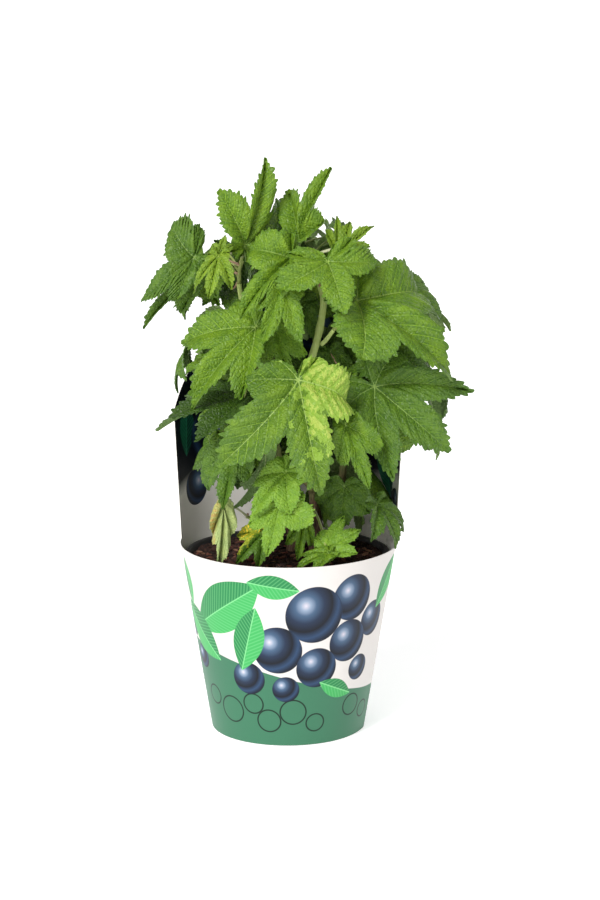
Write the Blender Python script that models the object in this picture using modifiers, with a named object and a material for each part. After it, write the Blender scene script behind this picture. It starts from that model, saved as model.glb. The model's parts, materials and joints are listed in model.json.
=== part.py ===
"""A young blackcurrant bush in its nursery pot, with a card sleeve round the pot.

Four canes rise out of the soil. Short boughs lead from them to masses of
leaves, and each mass is one solid: a stem, the leaf stalks and the lobed
blades. The sleeve is a flared cone whose back half stands up as an arched
panel. The origin is on the floor under the middle of the pot; +Z is up and
the open front of the sleeve faces -Y. Lengths below are in millimetres.
"""

import math
import random

import bmesh
import bpy
from mathutils import Vector
from mathutils.bvhtree import BVHTree
from mathutils.geometry import delaunay_2d_cdt

MM = 0.001

# Nursery pot
POT_HEIGHT = 148.0
POT_FOOT_RADIUS = 58.0
POT_TOP_RADIUS = 81.5
POT_LIP_RADIUS = 84.0
POT_LIP_DEPTH = 3.0
POT_WALL = 1.6
POT_STEPS = 32
DRAIN_HOLES = 6
DRAIN_RADIUS = 4.5
DRAIN_CIRCLE = 38.0

# Soil
SOIL_TOP = 145.0
SOIL_BOTTOM = 2.4
SOIL_GAP = 0.4

# Card sleeve
SLEEVE_FOOT = 0.6
SLEEVE_RIM = 155.0
SLEEVE_FOOT_RADIUS = 62.0
SLEEVE_RIM_RADIUS = 87.0
PANEL_FLARE = 0.05
PANEL_EDGE = 262.0
PANEL_TOP = 347.0
SLEEVE_WALL = 0.8
SLEEVE_TURN = -10.0
CREASE_SWELL = 0.03
CREASE_REACH = 0.25
HALF_STEPS = 20

# Canes and boughs: clearance at a joint, and how the stalks are made
JOINT_GAP = 0.35
CUT_LEVEL = SOIL_TOP + 0.35
STALK_RADIUS = 0.9
MASS_STEM_RADIUS = 1.7
STALK_ROOM = 3.0
STALK_BOWS = (0.12, 0.0, 0.25, -0.12, 0.4, -0.25)

# Leaves
LEAF_THICKNESS = 1.1
LEAF_CLEARANCE = 0.35
GOLDEN_ANGLE = 137.508
SEED_TRIALS = 260
SEEDED_SIZES = (44.0, 62.0)
SEEDED_SHRINK = 0.09
SEEDED_DROOP = (-85.0, -30.0)

# Flat pattern of half a blade, as angle from the midrib and radius. The leaf
# stalk joins at 0, 0, and the middle lobe is one unit long.
HALF_BLADE = (
    (0, 1.00),
    (12, 0.82),
    (25, 0.54),
    (36, 0.76),
    (50, 0.86),
    (64, 0.72),
    (81, 0.48),
    (106, 0.60),
    (145, 0.36),
)
BLADE_NOTCH = -0.04
INNER_BLADE = ((0, 0.52), (50, 0.44), (-50, 0.44), (108, 0.30), (-108, 0.30), (0, 0.05))
SIDE_LOBE_U = 0.86 * math.cos(math.radians(50))
SIDE_LOBE_V = 0.86 * math.sin(math.radians(50))

# Canes: name, foot radius, tip radius and the points that they pass through
CANES = (
    ("cane_centre", 4.6, 2.4,
     ((23, 2, CUT_LEVEL), (23, 2, 165), (22, -2, 195), (18, -11, 243),
      (17, -19, 297), (24, -18, 326), (29, -12, 358), (21, -4, 386))),
    ("cane_left", 4.0, 2.0,
     ((4, 13, CUT_LEVEL), (4, 13, 163), (-2, 14, 190), (-14, 10, 256),
      (-27, 4, 315), (-36, -1, 352), (-39, -4, 370))),
    ("cane_right", 3.6, 2.0,
     ((40, 14, CUT_LEVEL), (40, 14, 163), (43, 15, 187), (47, 12, 238), (46, 4, 276))),
    ("cane_back", 3.8, 2.0,
     ((20, 36, CUT_LEVEL), (20, 36, 163), (20, 40, 185), (24, 48, 265),
      (22, 48, 340), (16, 42, 378))),
)

# Boughs: name, cane, height at which it leaves the cane, foot radius, tip
# radius and the points after that
BOUGHS = (
    ("bough_right", "cane_centre", 318, 1.9, 1.5, ((31, -23, 327), (37, -28, 336))),
    ("bough_left", "cane_left", 300, 1.9, 1.5, ((-28, -10, 310), (-29, -24, 322))),
    ("bough_lower_left", "cane_left", 226, 1.9, 1.5, ((-17, -4, 240), (-24, -20, 254))),
    ("bough_low_middle", "cane_centre", 196, 1.9, 1.5, ((17, -18, 206), (11, -32, 217))),
    ("bough_low_left", "cane_left", 168, 1.8, 1.4, ((-12, 2, 172), (-26, -14, 178))),
    ("bough_low_right", "cane_right", 176, 1.8, 1.4, ((52, 4, 186), (58, -8, 192))),
)

# Masses: name, limb, height at which the stem leaves the limb (None is its
# tip), points of the stem, number of seeded leaves, and the middle and the
# half sizes of the space that these keep to
MASSES = (
    ("leaves_top_left", "cane_left", None, ((-38, -8, 384), (-35, -8, 396)),
     3, (-58, 40, 366), (52, 52, 44)),
    ("leaves_top", "cane_centre", None, ((14, -8, 392), (8, -10, 397)),
     5, (22, 14, 386), (50, 52, 50)),
    ("leaves_right_high", "bough_right", None, ((42, -31, 342), (46, -34, 346)),
     4, (86, 26, 334), (56, 66, 48)),
    ("leaves_right_low", "cane_right", None, ((49, -4, 282), (50, -14, 284)),
     4, (82, 6, 262), (60, 62, 52)),
    ("leaves_centre", "cane_centre", 290, ((12, -30, 299), (10, -42, 302)),
     0, (10, -60, 260), (40, 30, 40)),
    ("leaves_left", "bough_left", None, ((-29, -30, 330), (-30, -34, 326)),
     4, (-54, 14, 300), (48, 66, 48)),
    ("leaves_lower_left", "bough_lower_left", None, ((-27, -30, 258), (-28, -38, 256)),
     3, (-32, 4, 228), (52, 64, 48)),
    ("leaves_low_middle", "bough_low_middle", None, ((8, -40, 220), (7, -46, 216)),
     0, (10, -50, 200), (40, 30, 40)),
    ("leaves_rim", "cane_centre", 178, ((21, -12, 187), (22, -22, 186)),
     0, (20, -50, 170), (40, 30, 30)),
    ("leaves_low_right", "bough_low_right", None, ((60, -14, 194), (61, -17, 194)),
     3, (46, 10, 198), (48, 64, 46)),
    ("leaves_low_left", "bough_low_left", None, ((-30, -22, 181), (-33, -28, 183)),
     0, (-40, -40, 180), (30, 30, 30)),
    ("leaves_back_left", "cane_left", 268, ((-16, 24, 284), (-18, 40, 300)),
     7, (-28, 46, 304), (68, 64, 68)),
    ("leaves_back_right", "cane_back", 262, ((38, 46, 280), (52, 44, 298)),
     7, (56, 46, 310), (66, 64, 68)),
    ("leaves_back_top", "cane_back", None, ((13, 40, 388), (12, 40, 400)),
     9, (8, 62, 380), (70, 70, 54)),
    ("leaves_back_low", "cane_back", 200, ((18, 56, 214), (16, 62, 228)),
     5, (8, 42, 216), (66, 54, 56)),
    ("leaves_side_right", "cane_right", 256, ((56, 14, 268), (70, 14, 284)),
     9, (76, 6, 290), (52, 60, 56)),
    ("leaves_side_left", "cane_left", 254, ((-28, 16, 266), (-42, 10, 280)),
     9, (-50, -8, 272), (40, 46, 60)),
)

# Leaves that set the outline: mass, stalk joint, tip of the middle lobe, tip
# of the left lobe and tip of the right lobe as seen on the upper face, and
# how far the blade arches, as a share of its length
SHOWN_LEAVES = (
    ("leaves_top_left", (-34, -14, 402), (-16, 0, 471), (-53, -14, 444), (-12, 20, 428), 0.03),
    ("leaves_top_left", (-74, -18, 393), (-117, -30, 360), (-88, -32, 361), (-92, -10, 418), 0.05),
    ("leaves_top_left", (-66, -4, 380), (-119, -20, 339), (-84, -20, 350), (-98, -2, 367), 0.04),
    ("leaves_top_left", (-54, -42, 397), (-62, -50, 364), (-44, -46, 372), (-74, -44, 369), 0.08),
    ("leaves_top_left", (-54, -34, 398), (-49, -28, 412), (-59, -30, 405), (-43, -28, 404), 0.03),
    ("leaves_top_left", (-38, 12, 385), (-51, 4, 362), (-36, 6, 365), (-59, 8, 378), 0.04),
    ("leaves_top_left", (-34, 20, 386), (-60, 24, 402), (-53, 20, 384), (-40, 28, 405), 0.04),
    ("leaves_top", (10, -8, 404), (36, 4, 462), (2, 16, 441), (29, -16, 421), 0.03),
    ("leaves_top", (2, 24, 395), (-9, 30, 436), (-24, 28, 414), (10, 34, 424), 0.03),
    ("leaves_top", (3, -38, 395), (-39, -58, 350), (-12, -60, 357), (-29, -34, 402), 0.10),
    ("leaves_top", (-3, -52, 375), (-20, -68, 331), (10, -64, 334), (-24, -58, 358), 0.06),
    ("leaves_top", (32, -54, 394), (45, -78, 356), (68, -46, 392), (-6, -68, 375), 0.10),
    ("leaves_top", (46, -30, 400), (68, -30, 421), (49, -22, 422), (65, -38, 404), 0.03),
    ("leaves_top", (39, -18, 399), (40, -14, 426), (31, -18, 415), (48, -14, 416), 0.03),
    ("leaves_right_high", (55, -40, 361), (135, -60, 303), (109, -14, 367), (59, -74, 321), 0.07),
    ("leaves_right_low", (70, -35, 291), (130, -54, 242), (146, -36, 288), (84, -66, 224), 0.05),
    ("leaves_right_low", (46, -70, 267), (65, -78, 217), (75, -72, 251), (40, -78, 239), 0.06),
    ("leaves_right_low", (35, 12, 312), (41, 4, 288), (53, 8, 301), (22, 8, 299), 0.05),
    ("leaves_centre", (9, -72, 303), (27, -98, 216), (51, -72, 285), (-52, -88, 239), 0.06),
    ("leaves_left", (-25, -40, 340), (-80, -66, 281), (-37, -74, 291), (-85, -36, 330), 0.05),
    ("leaves_left", (-30, -38, 283), (-106, -56, 264), (-70, -78, 256), (-82, -14, 280), 0.04),
    ("leaves_lower_left", (-40, -54, 246), (-52, -70, 199), (-29, -64, 224), (-68, -56, 226), 0.04),
    ("leaves_lower_left", (-17, -34, 238), (-41, -44, 190), (-34, -14, 205), (-22, -48, 216), 0.03),
    ("leaves_low_middle", (-1, -60, 227), (-30, -72, 193), (2, -74, 197), (-25, -58, 221), 0.05),
    ("leaves_low_middle", (-5, -64, 203), (-16, -77, 162), (19, -70, 187), (-30, -70, 187), 0.05),
    ("leaves_low_middle", (13, -50, 187), (8, -54, 153), (20, -52, 165), (-1, -54, 167), 0.05),
    ("leaves_rim", (32, -58, 164), (59, -48, 176), (45, -40, 185), (55, -62, 161), 0.04),
    ("leaves_rim", (33, -64, 161), (7, -72, 152), (23, -76, 151), (13, -62, 160), 0.04),
    ("leaves_low_right", (72, -30, 193), (89, -46, 161), (95, -24, 171), (68, -62, 172), 0.08),
    ("leaves_low_left", (-52, -52, 200), (-55, -60, 152), (-44, -50, 167), (-65, -56, 174), 0.03),
    ("leaves_low_left", (-20, -44, 173), (-41, -58, 152), (-23, -58, 149), (-40, -46, 172), 0.05),
    ("leaves_back_left", (10, 8, 352), (1, -10, 315), (23, -2, 325), (-20, -8, 329), 0.04),
)

COLOURS = {
    "leaf": (0.20, 0.40, 0.07),
    "cane": (0.30, 0.33, 0.12),
    "pot": (0.02, 0.02, 0.02),
    "soil": (0.05, 0.03, 0.02),
    "sleeve": (0.80, 0.78, 0.74),
}


def clear_scene():
    """Remove the objects that a new file starts with."""
    for item in list(bpy.data.objects):
        bpy.data.objects.remove(item, do_unlink=True)


def make_material(name, colour, roughness):
    """Return a Principled material of one colour."""
    material = bpy.data.materials.new(name)
    material.use_nodes = True
    shader = material.node_tree.nodes["Principled BSDF"]
    shader.inputs["Base Color"].default_value = (*colour, 1.0)
    shader.inputs["Roughness"].default_value = roughness
    shader.inputs["Metallic"].default_value = 0.0
    return material


def make_collection(name):
    """Return a new collection in the scene."""
    collection = bpy.data.collections.new(name)
    bpy.context.scene.collection.children.link(collection)
    return collection


def add_mesh(name, points, faces, collection):
    """Link an object made of points in millimetres and faces."""
    mesh = bpy.data.meshes.new(name)
    mesh.from_pydata([Vector(p) * MM for p in points], [], faces)
    mesh.update()
    item = bpy.data.objects.new(name, mesh)
    collection.objects.link(item)
    return item


def evaluated_mesh(item):
    """Return the object's mesh, modifiers applied, welded and facing out."""
    graph = bpy.context.evaluated_depsgraph_get()
    mesh = bpy.data.meshes.new_from_object(item.evaluated_get(graph))
    shape = bmesh.new()
    shape.from_mesh(mesh)
    bmesh.ops.remove_doubles(shape, verts=shape.verts, dist=0.000002)
    bmesh.ops.recalc_face_normals(shape, faces=shape.faces)
    shape.to_mesh(mesh)
    shape.free()
    return mesh


def bake_down(item, collection):
    """Replace an object by a plain mesh of what it evaluates to."""
    mesh = evaluated_mesh(item)
    name = item.name
    bpy.data.objects.remove(item, do_unlink=True)
    baked = bpy.data.objects.new(name, mesh)
    baked.name = name
    collection.objects.link(baked)
    return baked


def smooth_points(points, per_span):
    """Return points along a smooth curve through the given ones."""
    pts = [Vector(p) for p in points]
    ends = [pts[0] * 2 - pts[1]] + pts + [pts[-1] * 2 - pts[-2]]
    path = []
    for i in range(1, len(ends) - 2):
        a, b, c, d = ends[i - 1:i + 3]
        for k in range(per_span):
            t = k / per_span
            path.append(0.5 * (2 * b + (c - a) * t + (2 * a - 5 * b + 4 * c - d) * t * t
                               + (3 * b - a - 3 * c + d) * t ** 3))
    return path + [pts[-1]]


def add_tube(name, path, radii, collection, sides):
    """Link a tapering tube along a path; sides is 4, 6 or 8."""
    curve = bpy.data.curves.new(name, "CURVE")
    curve.dimensions = "3D"
    curve.bevel_depth = MM
    curve.bevel_resolution = (sides - 4) // 2
    curve.use_fill_caps = True
    spline = curve.splines.new("POLY")
    spline.points.add(len(path) - 1)
    for point, place, radius in zip(spline.points, path, radii):
        point.co = (*(Vector(place) * MM), 1.0)
        point.radius = radius
    item = bpy.data.objects.new(name, curve)
    collection.objects.link(item)
    return bake_down(item, collection)


def tree_of(item):
    """Return a search tree of an object's faces, in millimetres."""
    mesh = item.data
    points = [v.co / MM for v in mesh.vertices]
    return BVHTree.FromPolygons(points, [tuple(p.vertices) for p in mesh.polygons])


def prism_tree(path, radius):
    """Return a search tree of a four-sided tube round a path."""
    points, faces = [], []
    for i, place in enumerate(path):
        ahead = path[min(i + 1, len(path) - 1)] - path[max(i - 1, 0)]
        side = ahead.orthogonal().normalized() * radius
        other = ahead.normalized().cross(side)
        points += [place + side, place + other, place - side, place - other]
        if i:
            base = 4 * (i - 1)
            for k in range(4):
                n = (k + 1) % 4
                faces.append((base + k, base + n, base + 4 + n, base + 4 + k))
    top = len(points) - 4
    faces += [(0, 1, 2, 3), (top, top + 1, top + 2, top + 3)]
    return BVHTree.FromPolygons(points, faces)


def touches(tree, others):
    """Tell whether a search tree meets any of the others."""
    return any(tree.overlap(other) for other in others)


def sleeve_radius(height, bearing):
    """Outer radius of the sleeve; the bearing is from its right crease."""
    slope = (SLEEVE_RIM_RADIUS - SLEEVE_FOOT_RADIUS) / SLEEVE_RIM
    radius = SLEEVE_FOOT_RADIUS + slope * min(height, SLEEVE_RIM)
    radius += PANEL_FLARE * max(height - SLEEVE_RIM, 0.0)
    off_crease = abs(math.remainder(bearing, math.pi))
    return radius * (1.0 + CREASE_SWELL * math.exp(-off_crease / CREASE_REACH))


def sleeve_point(height, bearing):
    """Point on the outside of the sleeve."""
    radius = sleeve_radius(height, bearing)
    turn = bearing + math.radians(SLEEVE_TURN)
    return (radius * math.cos(turn), radius * math.sin(turn), height)


def panel_height(bearing):
    """Height of the arched top of the back half."""
    return PANEL_EDGE + (PANEL_TOP - PANEL_EDGE) * max(math.sin(bearing), 0.0)


def build_sleeve(collection):
    """The card sleeve: a cone with two creases and an arched back panel."""
    steps = 2 * HALF_STEPS
    points, faces = [], []
    for height in (SLEEVE_FOOT, SLEEVE_RIM):
        points += [sleeve_point(height, math.pi * k / HALF_STEPS) for k in range(steps)]
    for k in range(HALF_STEPS + 1):
        bearing = math.pi * k / HALF_STEPS
        points.append(sleeve_point(panel_height(bearing), bearing))
    for k in range(steps):
        n = (k + 1) % steps
        faces.append((k, n, steps + n, steps + k))
    for k in range(HALF_STEPS):
        faces.append((steps + k, steps + k + 1, 2 * steps + k + 1, 2 * steps + k))
    sleeve = add_mesh("sleeve", points, faces, collection)
    wall = sleeve.modifiers.new("wall", "SOLIDIFY")
    wall.thickness = SLEEVE_WALL * MM
    wall.offset = -1.0
    return bake_down(sleeve, collection)


def add_turned(name, profile, steps, collection):
    """Turn an open profile of (radius, height) that ends on the axis."""
    points = [(r, 0.0, z) for r, z in profile]
    edges = [(i, i + 1) for i in range(len(points) - 1)]
    mesh = bpy.data.meshes.new(name)
    mesh.from_pydata([Vector(p) * MM for p in points], edges, [])
    item = bpy.data.objects.new(name, mesh)
    collection.objects.link(item)
    screw = item.modifiers.new("turn", "SCREW")
    screw.steps = steps
    screw.render_steps = steps
    screw.use_merge_vertices = True
    screw.merge_threshold = 0.00001
    screw.use_normal_calculate = True
    return bake_down(item, collection)


def build_pot(collection, cutters):
    """The nursery pot, with its lip and a ring of drain holes."""
    outer = [(0.0, 0.0), (POT_FOOT_RADIUS - 1.5, 0.0), (POT_FOOT_RADIUS, 1.5)]
    lip_foot = POT_HEIGHT - POT_LIP_DEPTH
    outer += [(POT_TOP_RADIUS, lip_foot), (POT_LIP_RADIUS, lip_foot), (POT_LIP_RADIUS, POT_HEIGHT)]
    inner_top = POT_TOP_RADIUS - POT_WALL
    inner = [(inner_top, POT_HEIGHT), (POT_FOOT_RADIUS - POT_WALL, 2.0), (0.0, 2.0)]
    profile = [point for point in reversed(outer + inner)]
    pot = add_turned("pot", profile, POT_STEPS, collection)
    for k in range(DRAIN_HOLES):
        turn = 2 * math.pi * (k + 0.5) / DRAIN_HOLES
        bpy.ops.mesh.primitive_cylinder_add(
            vertices=8,
            radius=DRAIN_RADIUS * MM,
            depth=8 * MM,
            location=(DRAIN_CIRCLE * MM * math.cos(turn), DRAIN_CIRCLE * MM * math.sin(turn), 0),
        )
        cutter = bpy.context.object
        for owner in list(cutter.users_collection):
            owner.objects.unlink(cutter)
        cutters.objects.link(cutter)
        cutter.hide_render = True
        cutter.display_type = "WIRE"
    holes = pot.modifiers.new("holes", "BOOLEAN")
    holes.operation = "DIFFERENCE"
    holes.operand_type = "COLLECTION"
    holes.collection = cutters
    pot = bake_down(pot, collection)
    for cutter in list(cutters.objects):
        bpy.data.objects.remove(cutter, do_unlink=True)
    return pot


def build_soil(collection):
    """The soil that fills the pot."""
    slope = (POT_TOP_RADIUS - POT_FOOT_RADIUS) / POT_HEIGHT
    foot = POT_FOOT_RADIUS - POT_WALL - SOIL_GAP
    top = foot + slope * (SOIL_TOP - SOIL_BOTTOM) - 0.4
    profile = [(0.0, SOIL_TOP), (top, SOIL_TOP), (foot, SOIL_BOTTOM), (0.0, SOIL_BOTTOM)]
    return add_turned("soil", profile, POT_STEPS, collection)


def taper(count, first, last, flare=0.0):
    """Radii that taper evenly, with a flare over the first points."""
    radii = []
    for i in range(count):
        share = i / (count - 1)
        radii.append(first + (last - first) * share + flare * math.exp(-share * 14))
    return radii


def point_at_height(path, radii, height):
    """Point and radius of a limb at a height, or at its tip."""
    if height is None:
        return path[-1], radii[-1]
    for i in range(1, len(path)):
        if path[i].z >= height:
            share = (height - path[i - 1].z) / (path[i].z - path[i - 1].z)
            return path[i - 1].lerp(path[i], share), radii[i]
    return path[-1], radii[-1]


def clear_start(path, radius, trees):
    """Cut a path back from its start until its tube is clear of the trees."""
    first = path[0]
    heading = (path[1] - first).normalized()
    room = (path[1] - first).length - 1.0
    back = 0.0
    while back < room:
        trial = [first + heading * back] + path[1:]
        if not touches(prism_tree(trial, radius + JOINT_GAP), trees):
            return [first + heading * (back + JOINT_GAP)] + path[1:]
        back += 0.25
    return [first + heading * room] + path[1:]


def build_limbs(collection):
    """The canes, and the boughs that leave them. Returns paths and radii."""
    limbs, trees = {}, {}
    for name, foot, tip, points in CANES:
        path = smooth_points(points, 2)
        radii = taper(len(path), foot, tip, flare=1.6)
        item = add_tube(name, path, radii, collection, 8)
        limbs[name] = (path, radii)
        trees[name] = tree_of(item)
    for name, cane, height, foot, tip, points in BOUGHS:
        start, _ = point_at_height(*limbs[cane], height)
        path = clear_start([start] + [Vector(p) for p in points], foot, trees.values())
        path = path[:1] + smooth_points(path, 2)[1:]
        radii = taper(len(path), foot, tip)
        item = add_tube(name, path, radii, collection, 6)
        limbs[name] = (path, radii)
        trees[name] = tree_of(item)
    return limbs, trees


def flat_pattern():
    """Points and triangles of the flat blade, one unit long."""
    def at(angle, radius):
        turn = math.radians(angle)
        return Vector((radius * math.cos(turn), radius * math.sin(turn)))

    rim = [at(angle, radius) for angle, radius in HALF_BLADE]
    rim += [Vector((BLADE_NOTCH, 0.0))]
    rim += [at(-angle, radius) for angle, radius in reversed(HALF_BLADE[1:])]
    inner = [at(angle, radius) for angle, radius in INNER_BLADE]
    loop = list(range(len(rim)))
    points, _, faces, _, _, _ = delaunay_2d_cdt(rim + inner, [], [loop], 1, 1e-5)
    return [(p.x, p.y) for p in points], [tuple(f) for f in faces]


PATTERN_POINTS, PATTERN_FACES = flat_pattern()


def blade_rule(joint, middle, left, right, arch):
    """Return a function from the flat pattern to a blade in space.

    The blade runs from the stalk joint and passes through the three lobe
    tips; it bends evenly across and arches evenly along. The heel of a side
    whose lobe is short is short too.
    """
    joint, middle, left, right = (Vector(p) for p in (joint, middle, left, right))
    along = middle - joint
    size = along.length
    normal = along.cross(left - right).normalized()

    def lift(u, v):
        reach = math.hypot(u, v)
        return size * arch * 4.0 * (reach - reach * reach)

    base = along * SIDE_LOBE_U + normal * lift(SIDE_LOBE_U, SIDE_LOBE_V)
    to_left = left - joint - base
    to_right = right - joint - base
    across = (to_left - to_right) / (2.0 * SIDE_LOBE_V)
    curl = (to_left + to_right) / (2.0 * SIDE_LOBE_V ** 2)
    heels = [min(max((tip - joint).length / size / 0.86, 0.5), 1.0) for tip in (left, right)]

    def place(u, v, offset=0.0):
        heel = heels[0] if v > 0 else heels[1]
        shrink = 1.0 - (1.0 - heel) * min(max((0.1 - u) / 0.25, 0.0), 1.0)
        u, v = u * shrink, v * shrink
        return joint + along * u + across * v + curl * (v * v) + normal * (lift(u, v) + offset)

    return place


def blade_tree(rule):
    """Search tree of a blade with room left on both faces."""
    half = LEAF_THICKNESS / 2 + LEAF_CLEARANCE
    points, faces = [], []
    for offset in (half, 0.0, -half):
        shift = len(points)
        points += [rule(u, v, offset) for u, v in PATTERN_POINTS]
        faces += [tuple(i + shift for i in face) for face in PATTERN_FACES]
    return BVHTree.FromPolygons(points, faces)


def add_blade(name, rule, collection):
    """Link the solid of one blade."""
    points = [rule(u, v) for u, v in PATTERN_POINTS]
    blade = add_mesh(name, points, PATTERN_FACES, collection)
    skin = blade.modifiers.new("thickness", "SOLIDIFY")
    skin.thickness = LEAF_THICKNESS * MM
    skin.offset = 0.0
    return bake_down(blade, collection)


def stalk_starts(stem, joint):
    """Places on a stem where a leaf stalk can start, the nearest first."""
    starts = []
    for a, b in zip(stem, stem[1:]):
        steps = max(int((b - a).length / 2.0), 1)
        starts += [a.lerp(b, (k + 0.8) / (steps + 0.8)) for k in range(steps)]
    starts = [place for place in starts if (place - stem[0]).length > STALK_ROOM]
    return sorted(starts, key=lambda place: (place - joint).length)[:4]


def stalk_path(start, joint, end, bow, steps=3):
    """Path of a leaf stalk from the stem to its end inside the blade."""
    joint = Vector(joint)
    span = (end - start).length
    first = start + (end - start) * 0.35 + Vector((0, 0, bow * span))
    last = joint - (joint - start).normalized() * span * 0.2 + Vector((0, 0, bow * span * 0.6))
    path = []
    for k in range(steps + 1):
        t = k / steps
        s = 1 - t
        path.append(start * s ** 3 + first * 3 * t * s * s + last * 3 * t * t * s + end * t ** 3)
    return path


def heading(azimuth, rise):
    """Unit vector from degrees of azimuth and rise."""
    a, e = math.radians(azimuth), math.radians(rise)
    return Vector((math.cos(e) * math.cos(a), math.cos(e) * math.sin(a), math.sin(e)))


def inside(place, middle, half):
    """Tell whether a place is in the ellipsoid of a mass's space."""
    return sum(((p - m) / h) ** 2 for p, m, h in zip(place, middle, half)) <= 1.0


def seeded_leaf(centre, half, number, trial, chance):
    """Propose a leaf of a golden-angle spiral in the space of a mass."""
    azimuth = GOLDEN_ANGLE * number + 31.0 * trial + chance.uniform(-15, 15)
    outward = heading(azimuth, chance.uniform(-50, 60))
    depth = chance.uniform(0.1, 0.7)
    joint = Vector(c + o * h * depth for c, o, h in zip(centre, outward, half))
    size = chance.uniform(*SEEDED_SIZES) - SEEDED_SHRINK * trial
    along = heading(azimuth + chance.uniform(-30, 30), chance.uniform(*SEEDED_DROOP))
    side = Vector((0, 0, 1)).cross(along).normalized()
    up = along.cross(side)
    middle = joint + along * size
    reach = joint + along * (SIDE_LOBE_U * size) - up * (0.08 * size)
    left = reach + side * (SIDE_LOBE_V * size)
    right = reach - side * (SIDE_LOBE_V * size)
    arch = chance.uniform(0.04, 0.10)
    return joint, middle, left, right, arch


def try_leaf(stem, leaf, blocks, own_stalks=()):
    """Return the stalk path and blade rule if the leaf is clear, else None.

    The blade keeps clear of its mass's own stalks, and its stalk needn't.
    """
    joint, middle, left, right, arch = leaf
    rule = blade_rule(joint, middle, left, right, arch)
    tree = blade_tree(rule)
    if touches(tree, blocks) or touches(tree, own_stalks):
        return None
    for start in stalk_starts(stem, Vector(joint)):
        for bow in STALK_BOWS:
            path = stalk_path(start, joint, rule(0.06, 0.0), bow)
            if not touches(prism_tree(path, STALK_RADIUS + LEAF_CLEARANCE), blocks):
                return path, rule
    return None


def keep_one_body(item):
    """Drop sealed hollows and loose scraps, and leave triangles."""
    shape = bmesh.new()
    shape.from_mesh(item.data)
    bmesh.ops.triangulate(shape, faces=shape.faces)
    bmesh.ops.remove_doubles(shape, verts=shape.verts, dist=0.000002)
    bmesh.ops.dissolve_degenerate(shape, edges=shape.edges, dist=0.000001)
    bmesh.ops.triangulate(shape, faces=shape.faces)
    left, bodies = set(shape.verts), []
    while left:
        body, edge = set(), [left.pop()]
        while edge:
            vert = edge.pop()
            body.add(vert)
            for link in vert.link_edges:
                other = link.other_vert(vert)
                if other in left:
                    left.discard(other)
                    edge.append(other)
        bodies.append(body)
    bodies.sort(key=len, reverse=True)
    loose = [vert for body in bodies[1:] for vert in body]
    bmesh.ops.delete(shape, geom=loose, context="VERTS")
    shape.to_mesh(item.data)
    shape.free()


def fuse_mass(name, stem, radii, leaves, collection, material):
    """Join a stem, its leaf stalks and its blades into one solid."""
    loose = make_collection(name + "_pieces")
    for i, (path, rule) in enumerate(leaves):
        add_tube(f"stalk_{i}", path, [STALK_RADIUS] * len(path), loose, 4)
        add_blade(f"blade_{i}", rule, loose)
    mass = add_tube(name, stem, radii, collection, 6)
    union = mass.modifiers.new("join", "BOOLEAN")
    union.operation = "UNION"
    union.operand_type = "COLLECTION"
    union.collection = loose
    union.solver = "EXACT"
    mass = bake_down(mass, collection)
    for piece in list(loose.objects):
        bpy.data.objects.remove(piece, do_unlink=True)
    bpy.data.collections.remove(loose)
    keep_one_body(mass)
    mass.data.materials.append(material)
    return mass


def mass_stems(limbs, limb_trees):
    """Stems of the masses, each clear of the limb that carries it."""
    stems = {}
    for name, limb, height, points, *_ in MASSES:
        start, _ = point_at_height(*limbs[limb], height)
        path = [start] + [Vector(p) for p in points]
        stems[name] = clear_start(path, MASS_STEM_RADIUS, limb_trees)
    return stems


def grow_leaves(stems, limb_trees, fixed_trees):
    """Place the shown leaves, then the seeded ones where there is room."""
    leaves = {name: [] for name in stems}
    blocks = {name: [] for name in stems}
    stalks = {name: [] for name in stems}
    solid = limb_trees + fixed_trees
    for name, stem in stems.items():
        blocks[name].append(prism_tree(stem, MASS_STEM_RADIUS + LEAF_CLEARANCE))

    def others(name):
        rest = [key for key in stems if key != name]
        return solid + [tree for key in rest for tree in blocks[key] + stalks[key]]

    def accept(name, made):
        path, rule = made
        leaves[name].append(made)
        blocks[name].append(blade_tree(rule))
        stalks[name].append(prism_tree(path, STALK_RADIUS + LEAF_CLEARANCE))

    for name, joint, middle, left, right, arch in SHOWN_LEAVES:
        made = try_leaf(stems[name], (joint, middle, left, right, arch), others(name))
        if made:
            accept(name, made)
    for seed, (name, _, _, _, count, centre, half) in enumerate(MASSES):
        chance = random.Random(seed)
        for number in range(count):
            for trial in range(SEED_TRIALS):
                leaf = seeded_leaf(centre, half, number, trial, chance)
                if not all(inside(tip, centre, half) for tip in leaf[:4]):
                    continue
                made = try_leaf(stems[name], leaf, others(name) + blocks[name][1:], stalks[name])
                if made:
                    accept(name, made)
                    break
    return leaves


def main():
    clear_scene()
    materials = {key: make_material(key, colour, 0.6) for key, colour in COLOURS.items()}
    bush = make_collection("potted_currant_bush")
    cutters = make_collection("cutters")
    pot = build_pot(bush, cutters)
    pot.data.materials.append(materials["pot"])
    soil = build_soil(bush)
    soil.data.materials.append(materials["soil"])
    sleeve = build_sleeve(bush)
    sleeve.data.materials.append(materials["sleeve"])
    limbs, trees = build_limbs(bush)
    for name in limbs:
        bpy.data.objects[name].data.materials.append(materials["cane"])
    limb_trees = list(trees.values())
    fixed_trees = [tree_of(pot), tree_of(soil), tree_of(sleeve)]
    stems = mass_stems(limbs, limb_trees)
    leaves = grow_leaves(stems, limb_trees, fixed_trees)
    for name, stem in stems.items():
        radii = taper(len(stem), MASS_STEM_RADIUS, 1.2)
        fuse_mass(name, stem, radii, leaves[name], bush, materials["leaf"])
    bpy.data.collections.remove(cutters)


main()
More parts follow.
